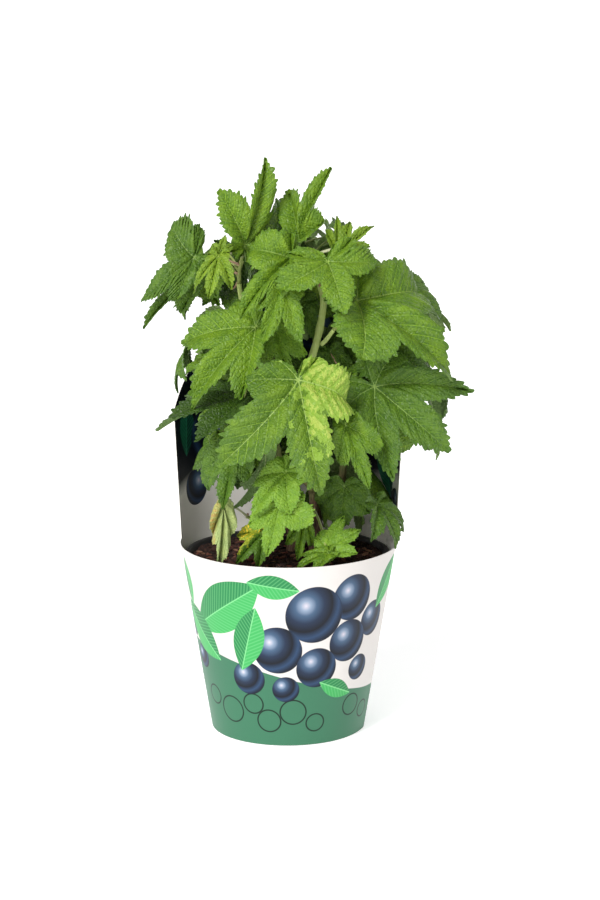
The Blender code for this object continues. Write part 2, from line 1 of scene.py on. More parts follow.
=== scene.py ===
"""Looks of the potted blackcurrant bush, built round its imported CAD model.

The leaves follow the rule of the part's source: the same canes, boughs, stems
and leaves are worked out again here, with a few smaller leaves between them.
Each blade gets lobes, teeth and sunken veins. The canes get bark, the pot its
ribs, the soil its bark chips and the card sleeve a plain printed pattern.
Lengths are in millimetres until a mesh is made. The origin is on the floor
under the middle of the pot, +Z is up and the camera looks along +Y.
"""

import json
import math
import random

import bpy
import numpy as np
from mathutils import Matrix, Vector, noise
from mathutils.bvhtree import BVHTree
from mathutils.geometry import delaunay_2d_cdt

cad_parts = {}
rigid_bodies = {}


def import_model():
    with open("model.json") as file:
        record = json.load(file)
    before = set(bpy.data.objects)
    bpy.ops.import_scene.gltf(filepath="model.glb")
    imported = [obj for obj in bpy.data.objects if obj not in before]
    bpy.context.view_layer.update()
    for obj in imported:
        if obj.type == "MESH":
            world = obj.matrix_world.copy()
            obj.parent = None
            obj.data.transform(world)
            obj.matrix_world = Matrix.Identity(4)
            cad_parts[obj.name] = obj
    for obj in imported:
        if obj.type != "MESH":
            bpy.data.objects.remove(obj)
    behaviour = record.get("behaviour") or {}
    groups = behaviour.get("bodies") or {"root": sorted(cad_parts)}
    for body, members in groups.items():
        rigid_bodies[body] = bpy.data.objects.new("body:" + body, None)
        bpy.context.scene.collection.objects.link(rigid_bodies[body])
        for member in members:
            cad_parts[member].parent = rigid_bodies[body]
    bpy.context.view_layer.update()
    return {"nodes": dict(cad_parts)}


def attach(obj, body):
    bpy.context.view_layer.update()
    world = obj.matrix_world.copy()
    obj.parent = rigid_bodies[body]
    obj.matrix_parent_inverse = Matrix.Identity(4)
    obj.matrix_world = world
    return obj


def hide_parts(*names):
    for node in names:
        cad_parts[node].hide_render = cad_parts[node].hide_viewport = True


MM = 0.001
BODY = "root"

# Camera, as worked out from the photograph
CAMERA_PLACE = (10.2, -2100.0, 656.0)
CAMERA_DROP = 11.40
CAMERA_LENS = 104.92

# Floor and the wall around it, in metres
FLOOR_REACH = 20.0
FLOOR_SIDES = 96
WALL_HEIGHT = 2.0
FLOOR_GLOW = 0.50
WALL_GLOW = 0.80

# Suns: name, direction of the light's source, width in degrees and strength
SUNS = (
    ("key", (-0.54, -0.86, 0.82), 18.0, 2.48),
    ("front", (-0.32, -1.0, 0.22), 30.0, 0.75),
    ("back", (0.3, 0.9, 0.7), 50.0, 0.6),
)
WORLD_STRENGTH = 0.42

# Pot, soil and sleeve, as in the part's source
POT_HEIGHT = 148.0
POT_FOOT_RADIUS = 58.0
POT_TOP_RADIUS = 81.5
POT_LIP_RADIUS = 84.0
POT_LIP_DEPTH = 3.0
POT_WALL = 1.6
POT_FLOOR = 2.0
DRAIN_HOLES = 6
DRAIN_RADIUS = 4.5
DRAIN_CIRCLE = 38.0
SOIL_TOP = 145.0
SOIL_BOTTOM = 2.4
SLEEVE_FOOT = 0.6
SLEEVE_RIM = 155.0
SLEEVE_FOOT_RADIUS = 62.0
SLEEVE_RIM_RADIUS = 87.0
SLEEVE_SLOPE = (SLEEVE_RIM_RADIUS - SLEEVE_FOOT_RADIUS) / SLEEVE_RIM
PANEL_FLARE = 0.05
PANEL_EDGE = 262.0
PANEL_TOP = 347.0
SLEEVE_TURN = -10.0
CREASE_SWELL = 0.03
CREASE_REACH = 0.25
CARD = 0.5

# Canes, boughs and stalks, as in the part's source
JOINT_GAP = 0.35
CUT_STEP = 0.25
CANE_FLARE = 1.6
FLARE_FADE = 14
CUT_LEVEL = SOIL_TOP + 0.35
STALK_RADIUS = 0.9
MASS_STEM_RADIUS = 1.7
STALK_ROOM = 3.0
STALK_SPACING = 2.0
STALK_TRIES = 4
STALK_END = 0.06
STALK_BOWS = (0.12, 0.0, 0.25, -0.12, 0.4, -0.25)
LEAF_THICKNESS = 1.1
LEAF_CLEARANCE = 0.35
GOLDEN_ANGLE = 137.508
SEED_TRIALS = 260
SEEDED_TURN = 31.0
SEEDED_RISE = (-50, 60)
SEEDED_DEPTH = (0.1, 0.7)
SEEDED_SHRINK = 0.09
SEEDED_DROOP = (-85.0, -30.0)
SEEDED_SAG = 0.08
SEEDED_ARCH = (0.04, 0.10)

# Half of the source's coarse blade, as angle from the midrib and radius
HALF_BLADE = (
    (0, 1.00), (12, 0.82), (25, 0.54), (36, 0.76), (50, 0.86), (64, 0.72), (81, 0.48),
    (106, 0.60), (145, 0.36),
)
BLADE_NOTCH = -0.04
INNER_BLADE = ((0, 0.52), (50, 0.44), (-50, 0.44), (108, 0.30), (-108, 0.30), (0, 0.05))
SIDE_LOBE_RADIUS = 0.86
SIDE_LOBE_U = SIDE_LOBE_RADIUS * math.cos(math.radians(50))
SIDE_LOBE_V = SIDE_LOBE_RADIUS * math.sin(math.radians(50))
HEEL_START = 0.1
HEEL_REACH = 0.25
SHORTEST_HEEL = 0.5

CANES = (
    ("cane_centre", 4.6, 2.4,
     ((23, 2, CUT_LEVEL), (23, 2, 165), (22, -2, 195), (18, -11, 243),
      (17, -19, 297), (24, -18, 326), (29, -12, 358), (21, -4, 386))),
    ("cane_left", 4.0, 2.0,
     ((4, 13, CUT_LEVEL), (4, 13, 163), (-2, 14, 190), (-14, 10, 256),
      (-27, 4, 315), (-36, -1, 352), (-39, -4, 370))),
    ("cane_right", 3.6, 2.0,
     ((40, 14, CUT_LEVEL), (40, 14, 163), (43, 15, 187), (47, 12, 238), (46, 4, 276))),
    ("cane_back", 3.8, 2.0,
     ((20, 36, CUT_LEVEL), (20, 36, 163), (20, 40, 185), (24, 48, 265),
      (22, 48, 340), (16, 42, 378))),
)

BOUGHS = (
    ("bough_right", "cane_centre", 318, 1.9, 1.5, ((31, -23, 327), (37, -28, 336))),
    ("bough_left", "cane_left", 300, 1.9, 1.5, ((-28, -10, 310), (-29, -24, 322))),
    ("bough_lower_left", "cane_left", 226, 1.9, 1.5, ((-17, -4, 240), (-24, -20, 254))),
    ("bough_low_middle", "cane_centre", 196, 1.9, 1.5, ((17, -18, 206), (11, -32, 217))),
    ("bough_low_left", "cane_left", 168, 1.8, 1.4, ((-12, 2, 172), (-26, -14, 178))),
    ("bough_low_right", "cane_right", 176, 1.8, 1.4, ((52, 4, 186), (58, -8, 192))),
)

# Masses: name, limb, height at which the stem leaves the limb (None is its
# tip), points of the stem, number of the source's seeded leaves, number of
# smaller leaves added here, and the middle and half sizes of their space
MASSES = (
    ("leaves_top_left", "cane_left", None, ((-38, -8, 384), (-35, -8, 396)),
     3, 2, (-58, 40, 366), (52, 52, 44)),
    ("leaves_top", "cane_centre", None, ((14, -8, 392), (8, -10, 397)),
     5, 2, (22, 14, 386), (50, 52, 50)),
    ("leaves_right_high", "bough_right", None, ((42, -31, 342), (46, -34, 346)),
     4, 2, (86, 26, 334), (56, 66, 48)),
    ("leaves_right_low", "cane_right", None, ((49, -4, 282), (50, -14, 284)),
     4, 2, (82, 6, 262), (60, 62, 52)),
    ("leaves_centre", "cane_centre", 290, ((12, -30, 299), (10, -42, 302)),
     0, 0, (10, -60, 260), (40, 30, 40)),
    ("leaves_left", "bough_left", None, ((-29, -30, 330), (-30, -34, 326)),
     4, 2, (-54, 14, 300), (48, 66, 48)),
    ("leaves_lower_left", "bough_lower_left", None, ((-27, -30, 258), (-28, -38, 256)),
     3, 2, (-32, 4, 228), (52, 64, 48)),
    ("leaves_low_middle", "bough_low_middle", None, ((8, -40, 220), (7, -46, 216)),
     0, 0, (10, -50, 200), (40, 30, 40)),
    ("leaves_rim", "cane_centre", 178, ((21, -12, 187), (22, -22, 186)),
     0, 0, (20, -50, 170), (40, 30, 30)),
    ("leaves_low_right", "bough_low_right", None, ((60, -14, 194), (61, -17, 194)),
     3, 2, (46, 10, 198), (48, 64, 46)),
    ("leaves_low_left", "bough_low_left", None, ((-30, -22, 181), (-33, -28, 183)),
     0, 0, (-40, -40, 180), (30, 30, 30)),
    ("leaves_back_left", "cane_left", 268, ((-16, 24, 284), (-18, 40, 300)),
     7, 4, (-28, 46, 304), (68, 64, 68)),
    ("leaves_back_right", "cane_back", 262, ((38, 46, 280), (52, 44, 298)),
     7, 4, (56, 46, 310), (66, 64, 68)),
    ("leaves_back_top", "cane_back", None, ((13, 40, 388), (12, 40, 400)),
     9, 4, (8, 62, 380), (70, 70, 54)),
    ("leaves_back_low", "cane_back", 200, ((18, 56, 214), (16, 62, 228)),
     5, 3, (8, 42, 216), (66, 54, 56)),
    ("leaves_side_right", "cane_right", 256, ((56, 14, 268), (70, 14, 284)),
     9, 4, (76, 6, 290), (52, 60, 56)),
    ("leaves_side_left", "cane_left", 254, ((-28, 16, 266), (-42, 10, 280)),
     9, 4, (-50, -8, 272), (40, 46, 60)),
)

# Leaves that set the outline, by mass: stalk joint, tips of the middle, left
# and right lobe as seen on the upper face, how far the blade arches as a share
# of its length, and its look: tint, number of the flat pattern and how sharply
# it folds up from its main veins
SHOWN_LEAVES = {
    "leaves_top_left": (
        ((-34, -14, 402), (-16, 0, 471), (-53, -14, 444), (-12, 20, 428), 0.03, "bright", 3, 0.54),
        ((-74, -18, 393), (-117, -30, 360), (-88, -32, 361), (-92, -10, 418), 0.05, "deep", 1, 0.30),
        ((-66, -4, 380), (-119, -20, 339), (-84, -20, 350), (-98, -2, 367), 0.04, "deep", 3, 0.32),
        ((-54, -42, 397), (-62, -50, 364), (-44, -46, 372), (-74, -44, 369), 0.08, "young", 3, 0.58),
        ((-54, -34, 398), (-49, -28, 412), (-59, -30, 405), (-43, -28, 404), 0.03, "young", 2, 0.48),
        ((-38, 12, 385), (-51, 4, 362), (-36, 6, 365), (-59, 8, 378), 0.04, "dark", 1, 0.32),
        ((-34, 20, 386), (-60, 24, 402), (-53, 20, 384), (-40, 28, 405), 0.04, "dark", 1, 0.32),
    ),
    "leaves_top": (
        ((10, -8, 404), (36, 4, 462), (2, 16, 441), (29, -16, 421), 0.03, "bright", 3, 0.74),
        ((2, 24, 395), (-9, 30, 436), (-24, 28, 414), (10, 34, 424), 0.03, "dark", 1, 0.32),
        ((3, -38, 395), (-39, -58, 350), (-12, -60, 357), (-29, -34, 402), 0.10, "bright", 1, 0.48),
        ((-3, -52, 375), (-20, -68, 331), (10, -64, 334), (-24, -58, 358), 0.06, "bright", 2, 0.32),
        ((32, -54, 394), (45, -78, 356), (68, -46, 392), (-6, -68, 375), 0.10, "bright", 2, 0.48),
        ((46, -30, 400), (68, -30, 421), (49, -22, 422), (65, -38, 404), 0.03, "young", 3, 0.64),
        ((39, -18, 399), (40, -14, 426), (31, -18, 415), (48, -14, 416), 0.03, "young", 2, 0.58),
    ),
    "leaves_right_high": (
        ((55, -40, 361), (135, -60, 303), (109, -14, 367), (59, -74, 321), 0.07, "mid", 0, 0.44),
    ),
    "leaves_right_low": (
        ((70, -35, 291), (130, -54, 242), (146, -36, 288), (84, -66, 224), 0.05, "deep", 2, 0.40),
        ((46, -70, 267), (65, -78, 217), (75, -72, 251), (40, -78, 239), 0.06, "mid", 1, 0.32),
        ((35, 12, 312), (41, 4, 288), (53, 8, 301), (22, 8, 299), 0.05, "deep", 1, 0.26),
    ),
    "leaves_centre": (
        ((9, -72, 303), (27, -98, 216), (51, -72, 285), (-52, -88, 239), 0.06, "mottled", 3, 0.44),
    ),
    "leaves_left": (
        ((-25, -40, 340), (-80, -66, 281), (-37, -74, 291), (-85, -36, 330), 0.05, "bright", 2, 0.32),
        ((-30, -38, 283), (-106, -56, 264), (-70, -78, 256), (-82, -14, 280), 0.04, "dark", 3, 0.32),
    ),
    "leaves_lower_left": (
        ((-40, -54, 246), (-52, -70, 199), (-29, -64, 224), (-68, -56, 226), 0.04, "deep", 1, 0.32),
        ((-17, -34, 238), (-41, -44, 190), (-34, -14, 205), (-22, -48, 216), 0.03, "dark", 2, 0.48),
    ),
    "leaves_low_middle": (
        ((-1, -60, 227), (-30, -72, 193), (2, -74, 197), (-25, -58, 221), 0.05, "fresh", 0, 0.36),
        ((-5, -64, 203), (-16, -77, 162), (19, -70, 187), (-30, -70, 187), 0.05, "fresh", 1, 0.34),
        ((13, -50, 187), (8, -54, 153), (20, -52, 165), (-1, -54, 167), 0.05, "mid", 1, 0.48),
    ),
    "leaves_rim": (
        ((32, -58, 164), (59, -48, 176), (45, -40, 185), (55, -62, 161), 0.04, "fresh", 0, 0.32),
        ((33, -64, 161), (7, -72, 152), (23, -76, 151), (13, -62, 160), 0.04, "bright", 0, 0.32),
    ),
    "leaves_low_right": (
        ((72, -30, 193), (89, -46, 161), (95, -24, 171), (68, -62, 172), 0.08, "deep", 2, 0.48),
    ),
    "leaves_low_left": (
        ((-52, -52, 200), (-55, -60, 152), (-44, -50, 167), (-65, -56, 174), 0.03, "old", 4, 1.70),
        ((-20, -44, 173), (-41, -58, 152), (-23, -58, 149), (-40, -46, 172), 0.05, "rusty", 1, 0.64),
    ),
    "leaves_back_left": (
        ((10, 8, 352), (1, -10, 315), (23, -2, 325), (-20, -8, 329), 0.04, "deep", 1, 0.32),
    ),
}

# A leaf that the photo shows between these, in the same form
EXTRA_LEAVES = {
    "leaves_left": (
        ((-12, -22, 340), (4, -36, 290), (14, -34, 318), (-22, -34, 312), 0.04, "fresh", 1, 0.32),
    ),
}

# Seeded leaves: sizes, as in the source and of the smaller ones, and tints
SEEDED_SIZES = (44.0, 62.0)
SMALL_SIZES = (26.0, 40.0)
SEEDED_TINTS = ("mid", "deep", "bright", "mid", "dark")
SMALL_TINTS = ("bright", "mid", "young")

# Fine blade: corners of half of its outline, as angle and radius, and for
# each side from one corner to the next: how far it bows out as a share of
# its length, and whether its teeth point to the end or back to the start
OUTLINE_CORNERS = (
    (0, 1.00), (25, 0.50), (50, 0.89), (81, 0.45), (108, 0.63), (148, 0.40), (180, 0.045),
)
OUTLINE_SIDES = (
    (0.15, -1), (0.15, 1), (0.14, -1), (0.15, 1), (0.18, -1), (0.12, -1),
)
SHAPES = ((1.10, 0.96), (1.02, 0.84), (0.93, 0.76), (0.83, 0.66), (1.46, 0.70))
TOOTH_DEPTH = 0.045
TOOTH_SIZES = (1.0, 0.45)
TOOTH_SHIFT = 0.15
TOOTH_CHANCE = (0.8, 1.2)
NOTCH_TEETH = 0.35
TIP_TEETH = (0.5, 0.3)
SINUS_TEETH = (0.3, 0.35)
LEAN_PEAK = 6.75
LEAN_SHARE = 0.25
TOOTH_SINK = 0.4
TOOTH_SHAPE = ((0.0, 0.0), (0.22, 0.42), (0.55, 0.86), (0.82, 1.0), (0.97, 0.62))

# Veins of the fine blade: angle and length of each main vein, and the sector
# that its side veins keep to
MAIN_VEINS = (
    (0, 0.985, (-25, 25)),
    (50, 0.855, (25, 80)),
    (-50, 0.855, (-80, -25)),
    (108, 0.605, (80, 130)),
    (-108, 0.605, (-130, -80)),
    (148, 0.385, (130, 176)),
    (-148, 0.385, (-176, -130)),
)
VEIN_BEND = 6
VEIN_SWAY = 1.5
HUB_RADIUS = 0.026
MAIN_WIDTH = 0.0074
SIDE_WIDTH = 0.0036
SIDE_SPACING = 0.112
SIDE_STEP = 0.02
SIDE_CURVE = 0.5

# Flat patterns, for large and small leaves: length of a tooth, and spacing of
# the points of the upper and of the under side
FINE = (0.060, 0.0225, 0.065)
LIGHT = (0.085, 0.040, 0.085)
LIGHT_SIZE = 41.0
VARIANTS = 5

# Relief of the fine blade; rises and reaches are shares of its length
QUILT_REACH = 0.050
QUILT_RISE = (0.013, 0.019)
KEEL_REACH = 0.19
STEEPEST_FOLD = 0.85
EDGE_REACH = 0.035
HUB_REACH = 0.10
RIB_DEPTH = 0.006
RIB_REACH = 0.008
WAVE_RISE = (0.018, 0.036)
WAVE_TURNS = (7, 8, 9)
DROOP = (0.14, 0.32)
DROOP_START = 0.4
RIPPLE = 0.6
QUILT_WIDTH = 1.2
MILDER_FOLDS = (1.0, 0.5, 0.2, 0.0)

# Thickness of a fine blade, in millimetres
SHEET = 0.42

# Tones of a blade: weight of spots, grain and swelling, and the least sum of
# a pale and lit crest and the greatest of a shade. Spots and grain are tone
# that differs at random. The swelling term is painted light and shade from the
# relief: a painted highlight where the blade swells up between the veins, and
# painted shade where it is low, in the grooves beside them
SPOT_WEIGHT = 0.45
GRAIN_WEIGHT = 0.12
SWELL_SHADING_WEIGHT = 0.50
SWELL_MIDDLE = 0.62
PALE_AND_LIT_TONE = 0.15
SHADE_TONE = -0.16

# Bark: ridges, peeling flakes below a height, swollen joints and buds
BARK_SIDES = 24
LIMB_STEP = 1.3
RIDGE = 0.03
RIDGES = 5
RIDGE_TWIST = 0.02
FLAKE = 0.09
FLAKE_START = 0.12
FLAKE_SCALE = 2.2
WOOD_TOP = 275.0
WOOD_FADE = 60.0
FIRST_JOINT = (16, 24)
LAST_JOINT = 8
JOINT_SPACING = 34.0
JOINT_SWELL = 0.16
JOINT_REACH = 3.0
BUD_SHAPE = (0.10, 0.27, 0.33, 0.31, 0.24, 0.14, 0.03)
BUD_LENGTH = 3.6
BUD_DEPTH = 0.85
BUD_LEAN = 0.7

# Colour of bark: scale and detail of its noises, how far fibres are drawn out,
# streaks, and in metres the height where it turns green, over how much, and
# how far blotches shift that
FIBRE_NOISE = (900.0, 4.0)
FIBRE_SQUEEZE = 0.12
BLOTCH_NOISE = (120.0, 3.0)
STREAK_START = 0.42
STREAK_GAIN = 3.0
GREEN_START = 0.215
GREEN_FADE = 0.085
BLOTCH_REACH = 0.06

# Fine stalks and stems: where a stalk ends, off the middle of the blade's
# thickness, its steps and radii, its bud, and the radius of a stem's tip
STALK_SINK = -0.3
STALK_STEPS = 14
STALK_SIDES = 8
STALK_SLIM = 0.85
STALK_FLARE = 0.5
STALK_NECK = 0.35
NECK_START = 0.86
NECK_REACH = 0.14
STALK_BUD_LENGTH = 2.6
STALK_BUD_RISE = 1.2
STEM_SIDES = 12
STEM_TIP = 1.2

# Tints, as sRGB: blade, vein, underside and stalk
TINTS = {
    "bright": ((99, 132, 28), (142, 170, 76), "pale", "green"),
    "mid": ((91, 124, 25), (133, 160, 68), "pale", "green"),
    "deep": ((80, 112, 30), (125, 152, 72), "dull", "pink"),
    "dark": ((54, 82, 16), (92, 120, 46), "dull", "green"),
    "young": ((118, 146, 38), (164, 182, 80), "pale", "pale"),
    "fresh": ((113, 150, 42), (146, 176, 76), "pale", "pale"),
    "mottled": ((90, 122, 30), (144, 170, 84), "pale", "grey"),
    "old": ((156, 171, 104), (170, 184, 120), "pale", "pale"),
    "rusty": ((78, 110, 28), (130, 140, 65), "dull", "green"),
}
UNDERSIDES = {
    "pale": ((132, 158, 92), (168, 186, 128)),
    "dull": ((98, 126, 66), (140, 158, 100)),
}
STALKS = {
    "green": (146, 160, 84),
    "pale": (204, 206, 166),
    "pink": (176, 142, 118),
    "grey": (150, 150, 128),
}
# Colour factors of the face levels. The shade level is darker and bluer, the pale and lit crest lighter
# and yellower: partly tone that differs at random, partly painted shade in the grooves and painted
# light on the swollen crests. Ribs are the paler side veins.
LEVELS = (
    ("shade", (0.84, 0.89, 0.92)),
    ("body", (1.0, 1.0, 1.0)),
    ("pale_and_lit_crest", (1.13, 1.09, 1.06)),
    ("rib", (1.34, 1.26, 1.45)),
)

# Leaf skin: roughness above and below, sheen, and its net of small veins as
# cells per metre, width of a vein in cells, strength and depth in metres
LEAF_ROUGHNESS = 0.45
UNDER_ROUGHNESS = 0.60
LEAF_SHEEN = 0.32
VEIN_NET = (330.0, 0.28, 0.6, 0.0009)

# Share of the relief and of the tones that smooth leaves show
CALM = {"fresh": 0.6, "young": 0.7, "old": 0.4, "rusty": 0.6}

# Patches of another colour: side of the midrib, least distance from it, how
# far the patch wanders, and the colours of its edge and middle
PATCHES = {
    "mottled": (1, 0.04, 0.34, ((128, 160, 54), (158, 178, 76))),
    "old": (-1, 0.40, 0.12, ((162, 160, 88), (174, 146, 80))),
    "rusty": (-1, 0.16, 0.14, ((150, 160, 40), (220, 184, 44))),
}

# Where patches stop short of the hub and of the tip, how far their edge frays,
# half the width of its band, and the least swelling and fleck of the middle
PATCH_HUB = 0.06
PATCH_TIP = 0.72
PATCH_FRAY = 0.12
PATCH_BAND = 0.03
PATCH_SWELL = 0.42
PATCH_FLECK = -0.16

# Kinds of face; shade and the pale and lit crest carry the painted shade and painted light of the
# relief as well as random tone.
FACE_KINDS = ("shade", "body", "pale_and_lit_crest", "rib", "vein", "patch_edge", "patch")
SHADE, BODY_TONE, PALE_AND_LIT_CREST, RIB, VEIN, PATCH_EDGE, PATCH = range(len(FACE_KINDS))

SLEEVE_STEPS = 120
WALL_ROWS = 42
PANEL_ROWS = 44
PRINT_HEIGHT = 360.0
POT_STEPS = 96
POT_LEDGES = 3
SOIL_SINK = 0.6
LUMP_SCALE = 0.09
LUMP_RISE = 1.6
CRUMB_SCALE = 3.1
CRUMB_RISE = 0.9
CHIPS = 900
CHIP_SIZES = ((2.0, 5.2), (1.2, 2.6), (0.6, 1.3))
CHIP_REACH = 75.0
CHIP_WEIGHTS = (45, 30, 20, 5)
CHIP_COLOURS = (
    ("dark", (40, 26, 22)), ("brown", (66, 42, 34)), ("red", (98, 56, 44)),
    ("tan", (128, 92, 72)),
)

# Noise in relief of plain materials: scale, detail, strength and depth
CHIP_GRAIN = (700.0, 4.0, 0.6, 0.001)
PLASTIC_GRAIN = (1400.0, 3.0, 0.25, 0.0002)
CARD_EDGE_GRAIN = (2500.0, 2.0, 0.3, 0.0002)

# Print of the sleeve. Discs are bearing in degrees from a crease, height and
# radius; lenses add how far they lean instead of a radius and a length; waves
# are height, swing, turns round the sleeve and phase
DISC_STOPS = (
    (0.0, (204, 198, 208)), (0.11, (138, 154, 176)), (0.24, (66, 90, 118)),
    (0.42, (30, 44, 68)), (0.62, (10, 14, 24)), (0.78, (40, 64, 96)), (0.90, (18, 28, 46)),
    (1.0, (8, 10, 16)),
)
OUTSIDE_DISCS = (
    (140, 125, 19.5), (160, 102, 15.0), (116, 114, 24.0), (140, 88, 18.0), (94, 84, 20.0),
    (119, 68, 17.0), (74, 58, 14.0), (99, 50, 11.0), (152, 62, 11.0), (30, 66, 10.0),
    (16, 92, 13.0), (92, 200, 22.0), (66, 218, 16.0), (116, 226, 15.0), (86, 246, 11.0),
    (98, 272, 8.0),
)
OUTSIDE_LENSES = (
    (60, 116, 43.0, 32.0), (34, 90, 32.0, -42.0), (76, 92, 29.0, 74.0), (92, 138, 22.0, -8.0),
    (172, 130, 24.0, 58.0), (134, 48, 17.0, -24.0), (24, 128, 20.0, 100.0),
    (130, 194, 33.0, -38.0), (56, 190, 29.0, 36.0), (108, 254, 29.0, 74.0),
    (72, 276, 25.0, 116.0), (140, 236, 26.0, 52.0), (38, 232, 23.0, 128.0),
    (92, 310, 22.0, 84.0),
)
OUTSIDE_RINGS = (
    (58, 28, 11.0), (76, 36, 8.5), (87, 22, 9.5), (104, 30, 10.5), (40, 36, 8.0),
    (120, 20, 7.5), (150, 30, 9.0), (166, 22, 7.0),
)
INSIDE_DISCS = (
    (146, 232, 24.0), (160, 192, 15.0), (128, 200, 12.0), (150, 284, 17.0), (104, 262, 22.0),
    (88, 318, 18.0), (60, 292, 16.0), (30, 268, 19.0), (72, 214, 13.0), (18, 186, 12.0),
)
INSIDE_LENSES = (
    (34, 214, 30.0, 64.0), (20, 232, 26.0, 110.0), (50, 238, 26.0, 22.0),
    (120, 300, 30.0, 130.0), (80, 250, 26.0, 80.0), (166, 244, 24.0, 95.0),
)

OUTSIDE_WAVE = (59.0, 20.0, 1.0, math.radians(-100.0))
INSIDE_WAVE = (196.0, 9.0, 3.0, 1.0)
RING_LINE = 0.6
EDGE_SHARPNESS = 2.5
DISC_LIGHT = (-0.32, 0.34)
DISC_SPREAD = 1.5
LENS_WIDTH = 0.46
STRIPE_SLANT = 0.9
STRIPE_RATE = 0.9
STRIPE_SHARE = 0.35
LENS_RIB = 0.45

COLOURS = {
    "cream": (217, 212, 208),
    # The inside's cream is the same card as the outside's, painted lighter to stand in for light in the
    # shaded inside of the sleeve.
    "inner_cream_painted_lighter": (246, 242, 234),
    "foot": (57, 112, 84),
    "ring": (12, 34, 26),
    "lens": (62, 166, 88),
    "lens_light": (122, 204, 134),
    "lens_dark": (36, 124, 70),
    "night": (18, 24, 34),
    "teal": (20, 104, 78),
    "teal_light": (70, 160, 126),
    "teal_dark": (12, 66, 54),
    "card_edge": (238, 234, 226),
    "bud": (150, 112, 84),
    "wood_dark": (70, 48, 36),
    "wood_light": (136, 108, 80),
    "stem_dark": (166, 184, 102),
    "stem_light": (192, 205, 130),
    "pot": (34, 34, 36),
    "soil": (44, 30, 26),
    "soil_light": (75, 51, 44),
    "floor": (240, 240, 240),
}


def srgb(red, green, blue):
    """Linear colour of an sRGB one from 0 to 255."""
    linear = []
    for value in (red, green, blue):
        share = min(max(value / 255.0, 0.0), 1.0)
        linear.append(share / 12.92 if share <= 0.04045 else ((share + 0.055) / 1.055) ** 2.4)
    return tuple(linear)


# The plan: limbs and leaves, by the rule of the part's source


def smooth_points(points, per_span):
    """Return points along a smooth curve through the given ones."""
    pts = [Vector(p) for p in points]
    ends = [pts[0] * 2 - pts[1]] + pts + [pts[-1] * 2 - pts[-2]]
    path = []
    for i in range(1, len(ends) - 2):
        a, b, c, d = ends[i - 1:i + 3]
        for k in range(per_span):
            t = k / per_span
            path.append(0.5 * (2 * b + (c - a) * t + (2 * a - 5 * b + 4 * c - d) * t * t
                               + (3 * b - a - 3 * c + d) * t ** 3))
    return path + [pts[-1]]


def tree_of(item):
    """Return a search tree of a CAD node's faces, in millimetres."""
    mesh = item.data
    points = [v.co / MM for v in mesh.vertices]
    return BVHTree.FromPolygons(points, [tuple(p.vertices) for p in mesh.polygons])


def prism_tree(path, radius):
    """Return a search tree of a four-sided tube round a path."""
    points, faces = [], []
    for i, place in enumerate(path):
        ahead = path[min(i + 1, len(path) - 1)] - path[max(i - 1, 0)]
        side = ahead.orthogonal().normalized() * radius
        other = ahead.normalized().cross(side)
        points += [place + side, place + other, place - side, place - other]
        if i:
            base = 4 * (i - 1)
            for k in range(4):
                n = (k + 1) % 4
                faces.append((base + k, base + n, base + 4 + n, base + 4 + k))
    top = len(points) - 4
    faces += [(0, 1, 2, 3), (top, top + 1, top + 2, top + 3)]
    return BVHTree.FromPolygons(points, faces)


def touches(tree, others):
    """Tell whether a search tree meets any of the others."""
    return any(tree.overlap(other) for other in others)


def taper(count, first, last, flare=0.0):
    """Radii that taper evenly, with a flare over the first points."""
    radii = []
    for i in range(count):
        share = i / (count - 1)
        radii.append(first + (last - first) * share + flare * math.exp(-share * FLARE_FADE))
    return radii


def point_at_height(path, height):
    """Point of a limb at a height, or at its tip."""
    if height is None:
        return path[-1]
    for i in range(1, len(path)):
        if path[i].z >= height:
            share = (height - path[i - 1].z) / (path[i].z - path[i - 1].z)
            return path[i - 1].lerp(path[i], share)
    return path[-1]


def clear_start(path, radius, trees):
    """Cut a path back from its start until its tube is clear of the trees."""
    first = path[0]
    heading_out = (path[1] - first).normalized()
    room = (path[1] - first).length - 1.0
    back = 0.0
    while back < room:
        trial = [first + heading_out * back] + path[1:]
        if not touches(prism_tree(trial, radius + JOINT_GAP), trees):
            return [first + heading_out * (back + JOINT_GAP)] + path[1:]
        back += CUT_STEP
    return [first + heading_out * room] + path[1:]


def plan_limbs(nodes):
    """Paths of the canes and boughs, and search trees of their nodes."""
    limbs, trees = {}, {}
    for name, _, _, points in CANES:
        limbs[name] = smooth_points(points, 2)
        trees[name] = tree_of(nodes[name])
    for name, cane, height, foot, _, points in BOUGHS:
        start = point_at_height(limbs[cane], height)
        path = clear_start([start] + [Vector(p) for p in points], foot, list(trees.values()))
        limbs[name] = path[:1] + smooth_points(path, 2)[1:]
        trees[name] = tree_of(nodes[name])
    return limbs, list(trees.values())


def plan_stems(limbs, limb_trees):
    """Stems of the masses, each clear of the limb that carries it."""
    stems = {}
    for name, limb, height, points, *_ in MASSES:
        path = [point_at_height(limbs[limb], height)] + [Vector(p) for p in points]
        stems[name] = clear_start(path, MASS_STEM_RADIUS, limb_trees)
    return stems


def polar(angle, radius):
    """Flat point at an angle in degrees and a radius."""
    turn = math.radians(angle)
    return radius * math.cos(turn), radius * math.sin(turn)


def coarse_pattern():
    """Points and triangles of the source's flat blade, one unit long."""
    rim = [Vector(polar(angle, radius)) for angle, radius in HALF_BLADE]
    rim += [Vector((BLADE_NOTCH, 0.0))]
    rim += [Vector(polar(-angle, radius)) for angle, radius in reversed(HALF_BLADE[1:])]
    inner = [Vector(polar(angle, radius)) for angle, radius in INNER_BLADE]
    points, _, faces, _, _, _ = delaunay_2d_cdt(rim + inner, [], [list(range(len(rim)))], 1, 1e-5)
    return np.array([(p.x, p.y) for p in points]), [tuple(f) for f in faces]


COARSE_POINTS, COARSE_FACES = coarse_pattern()


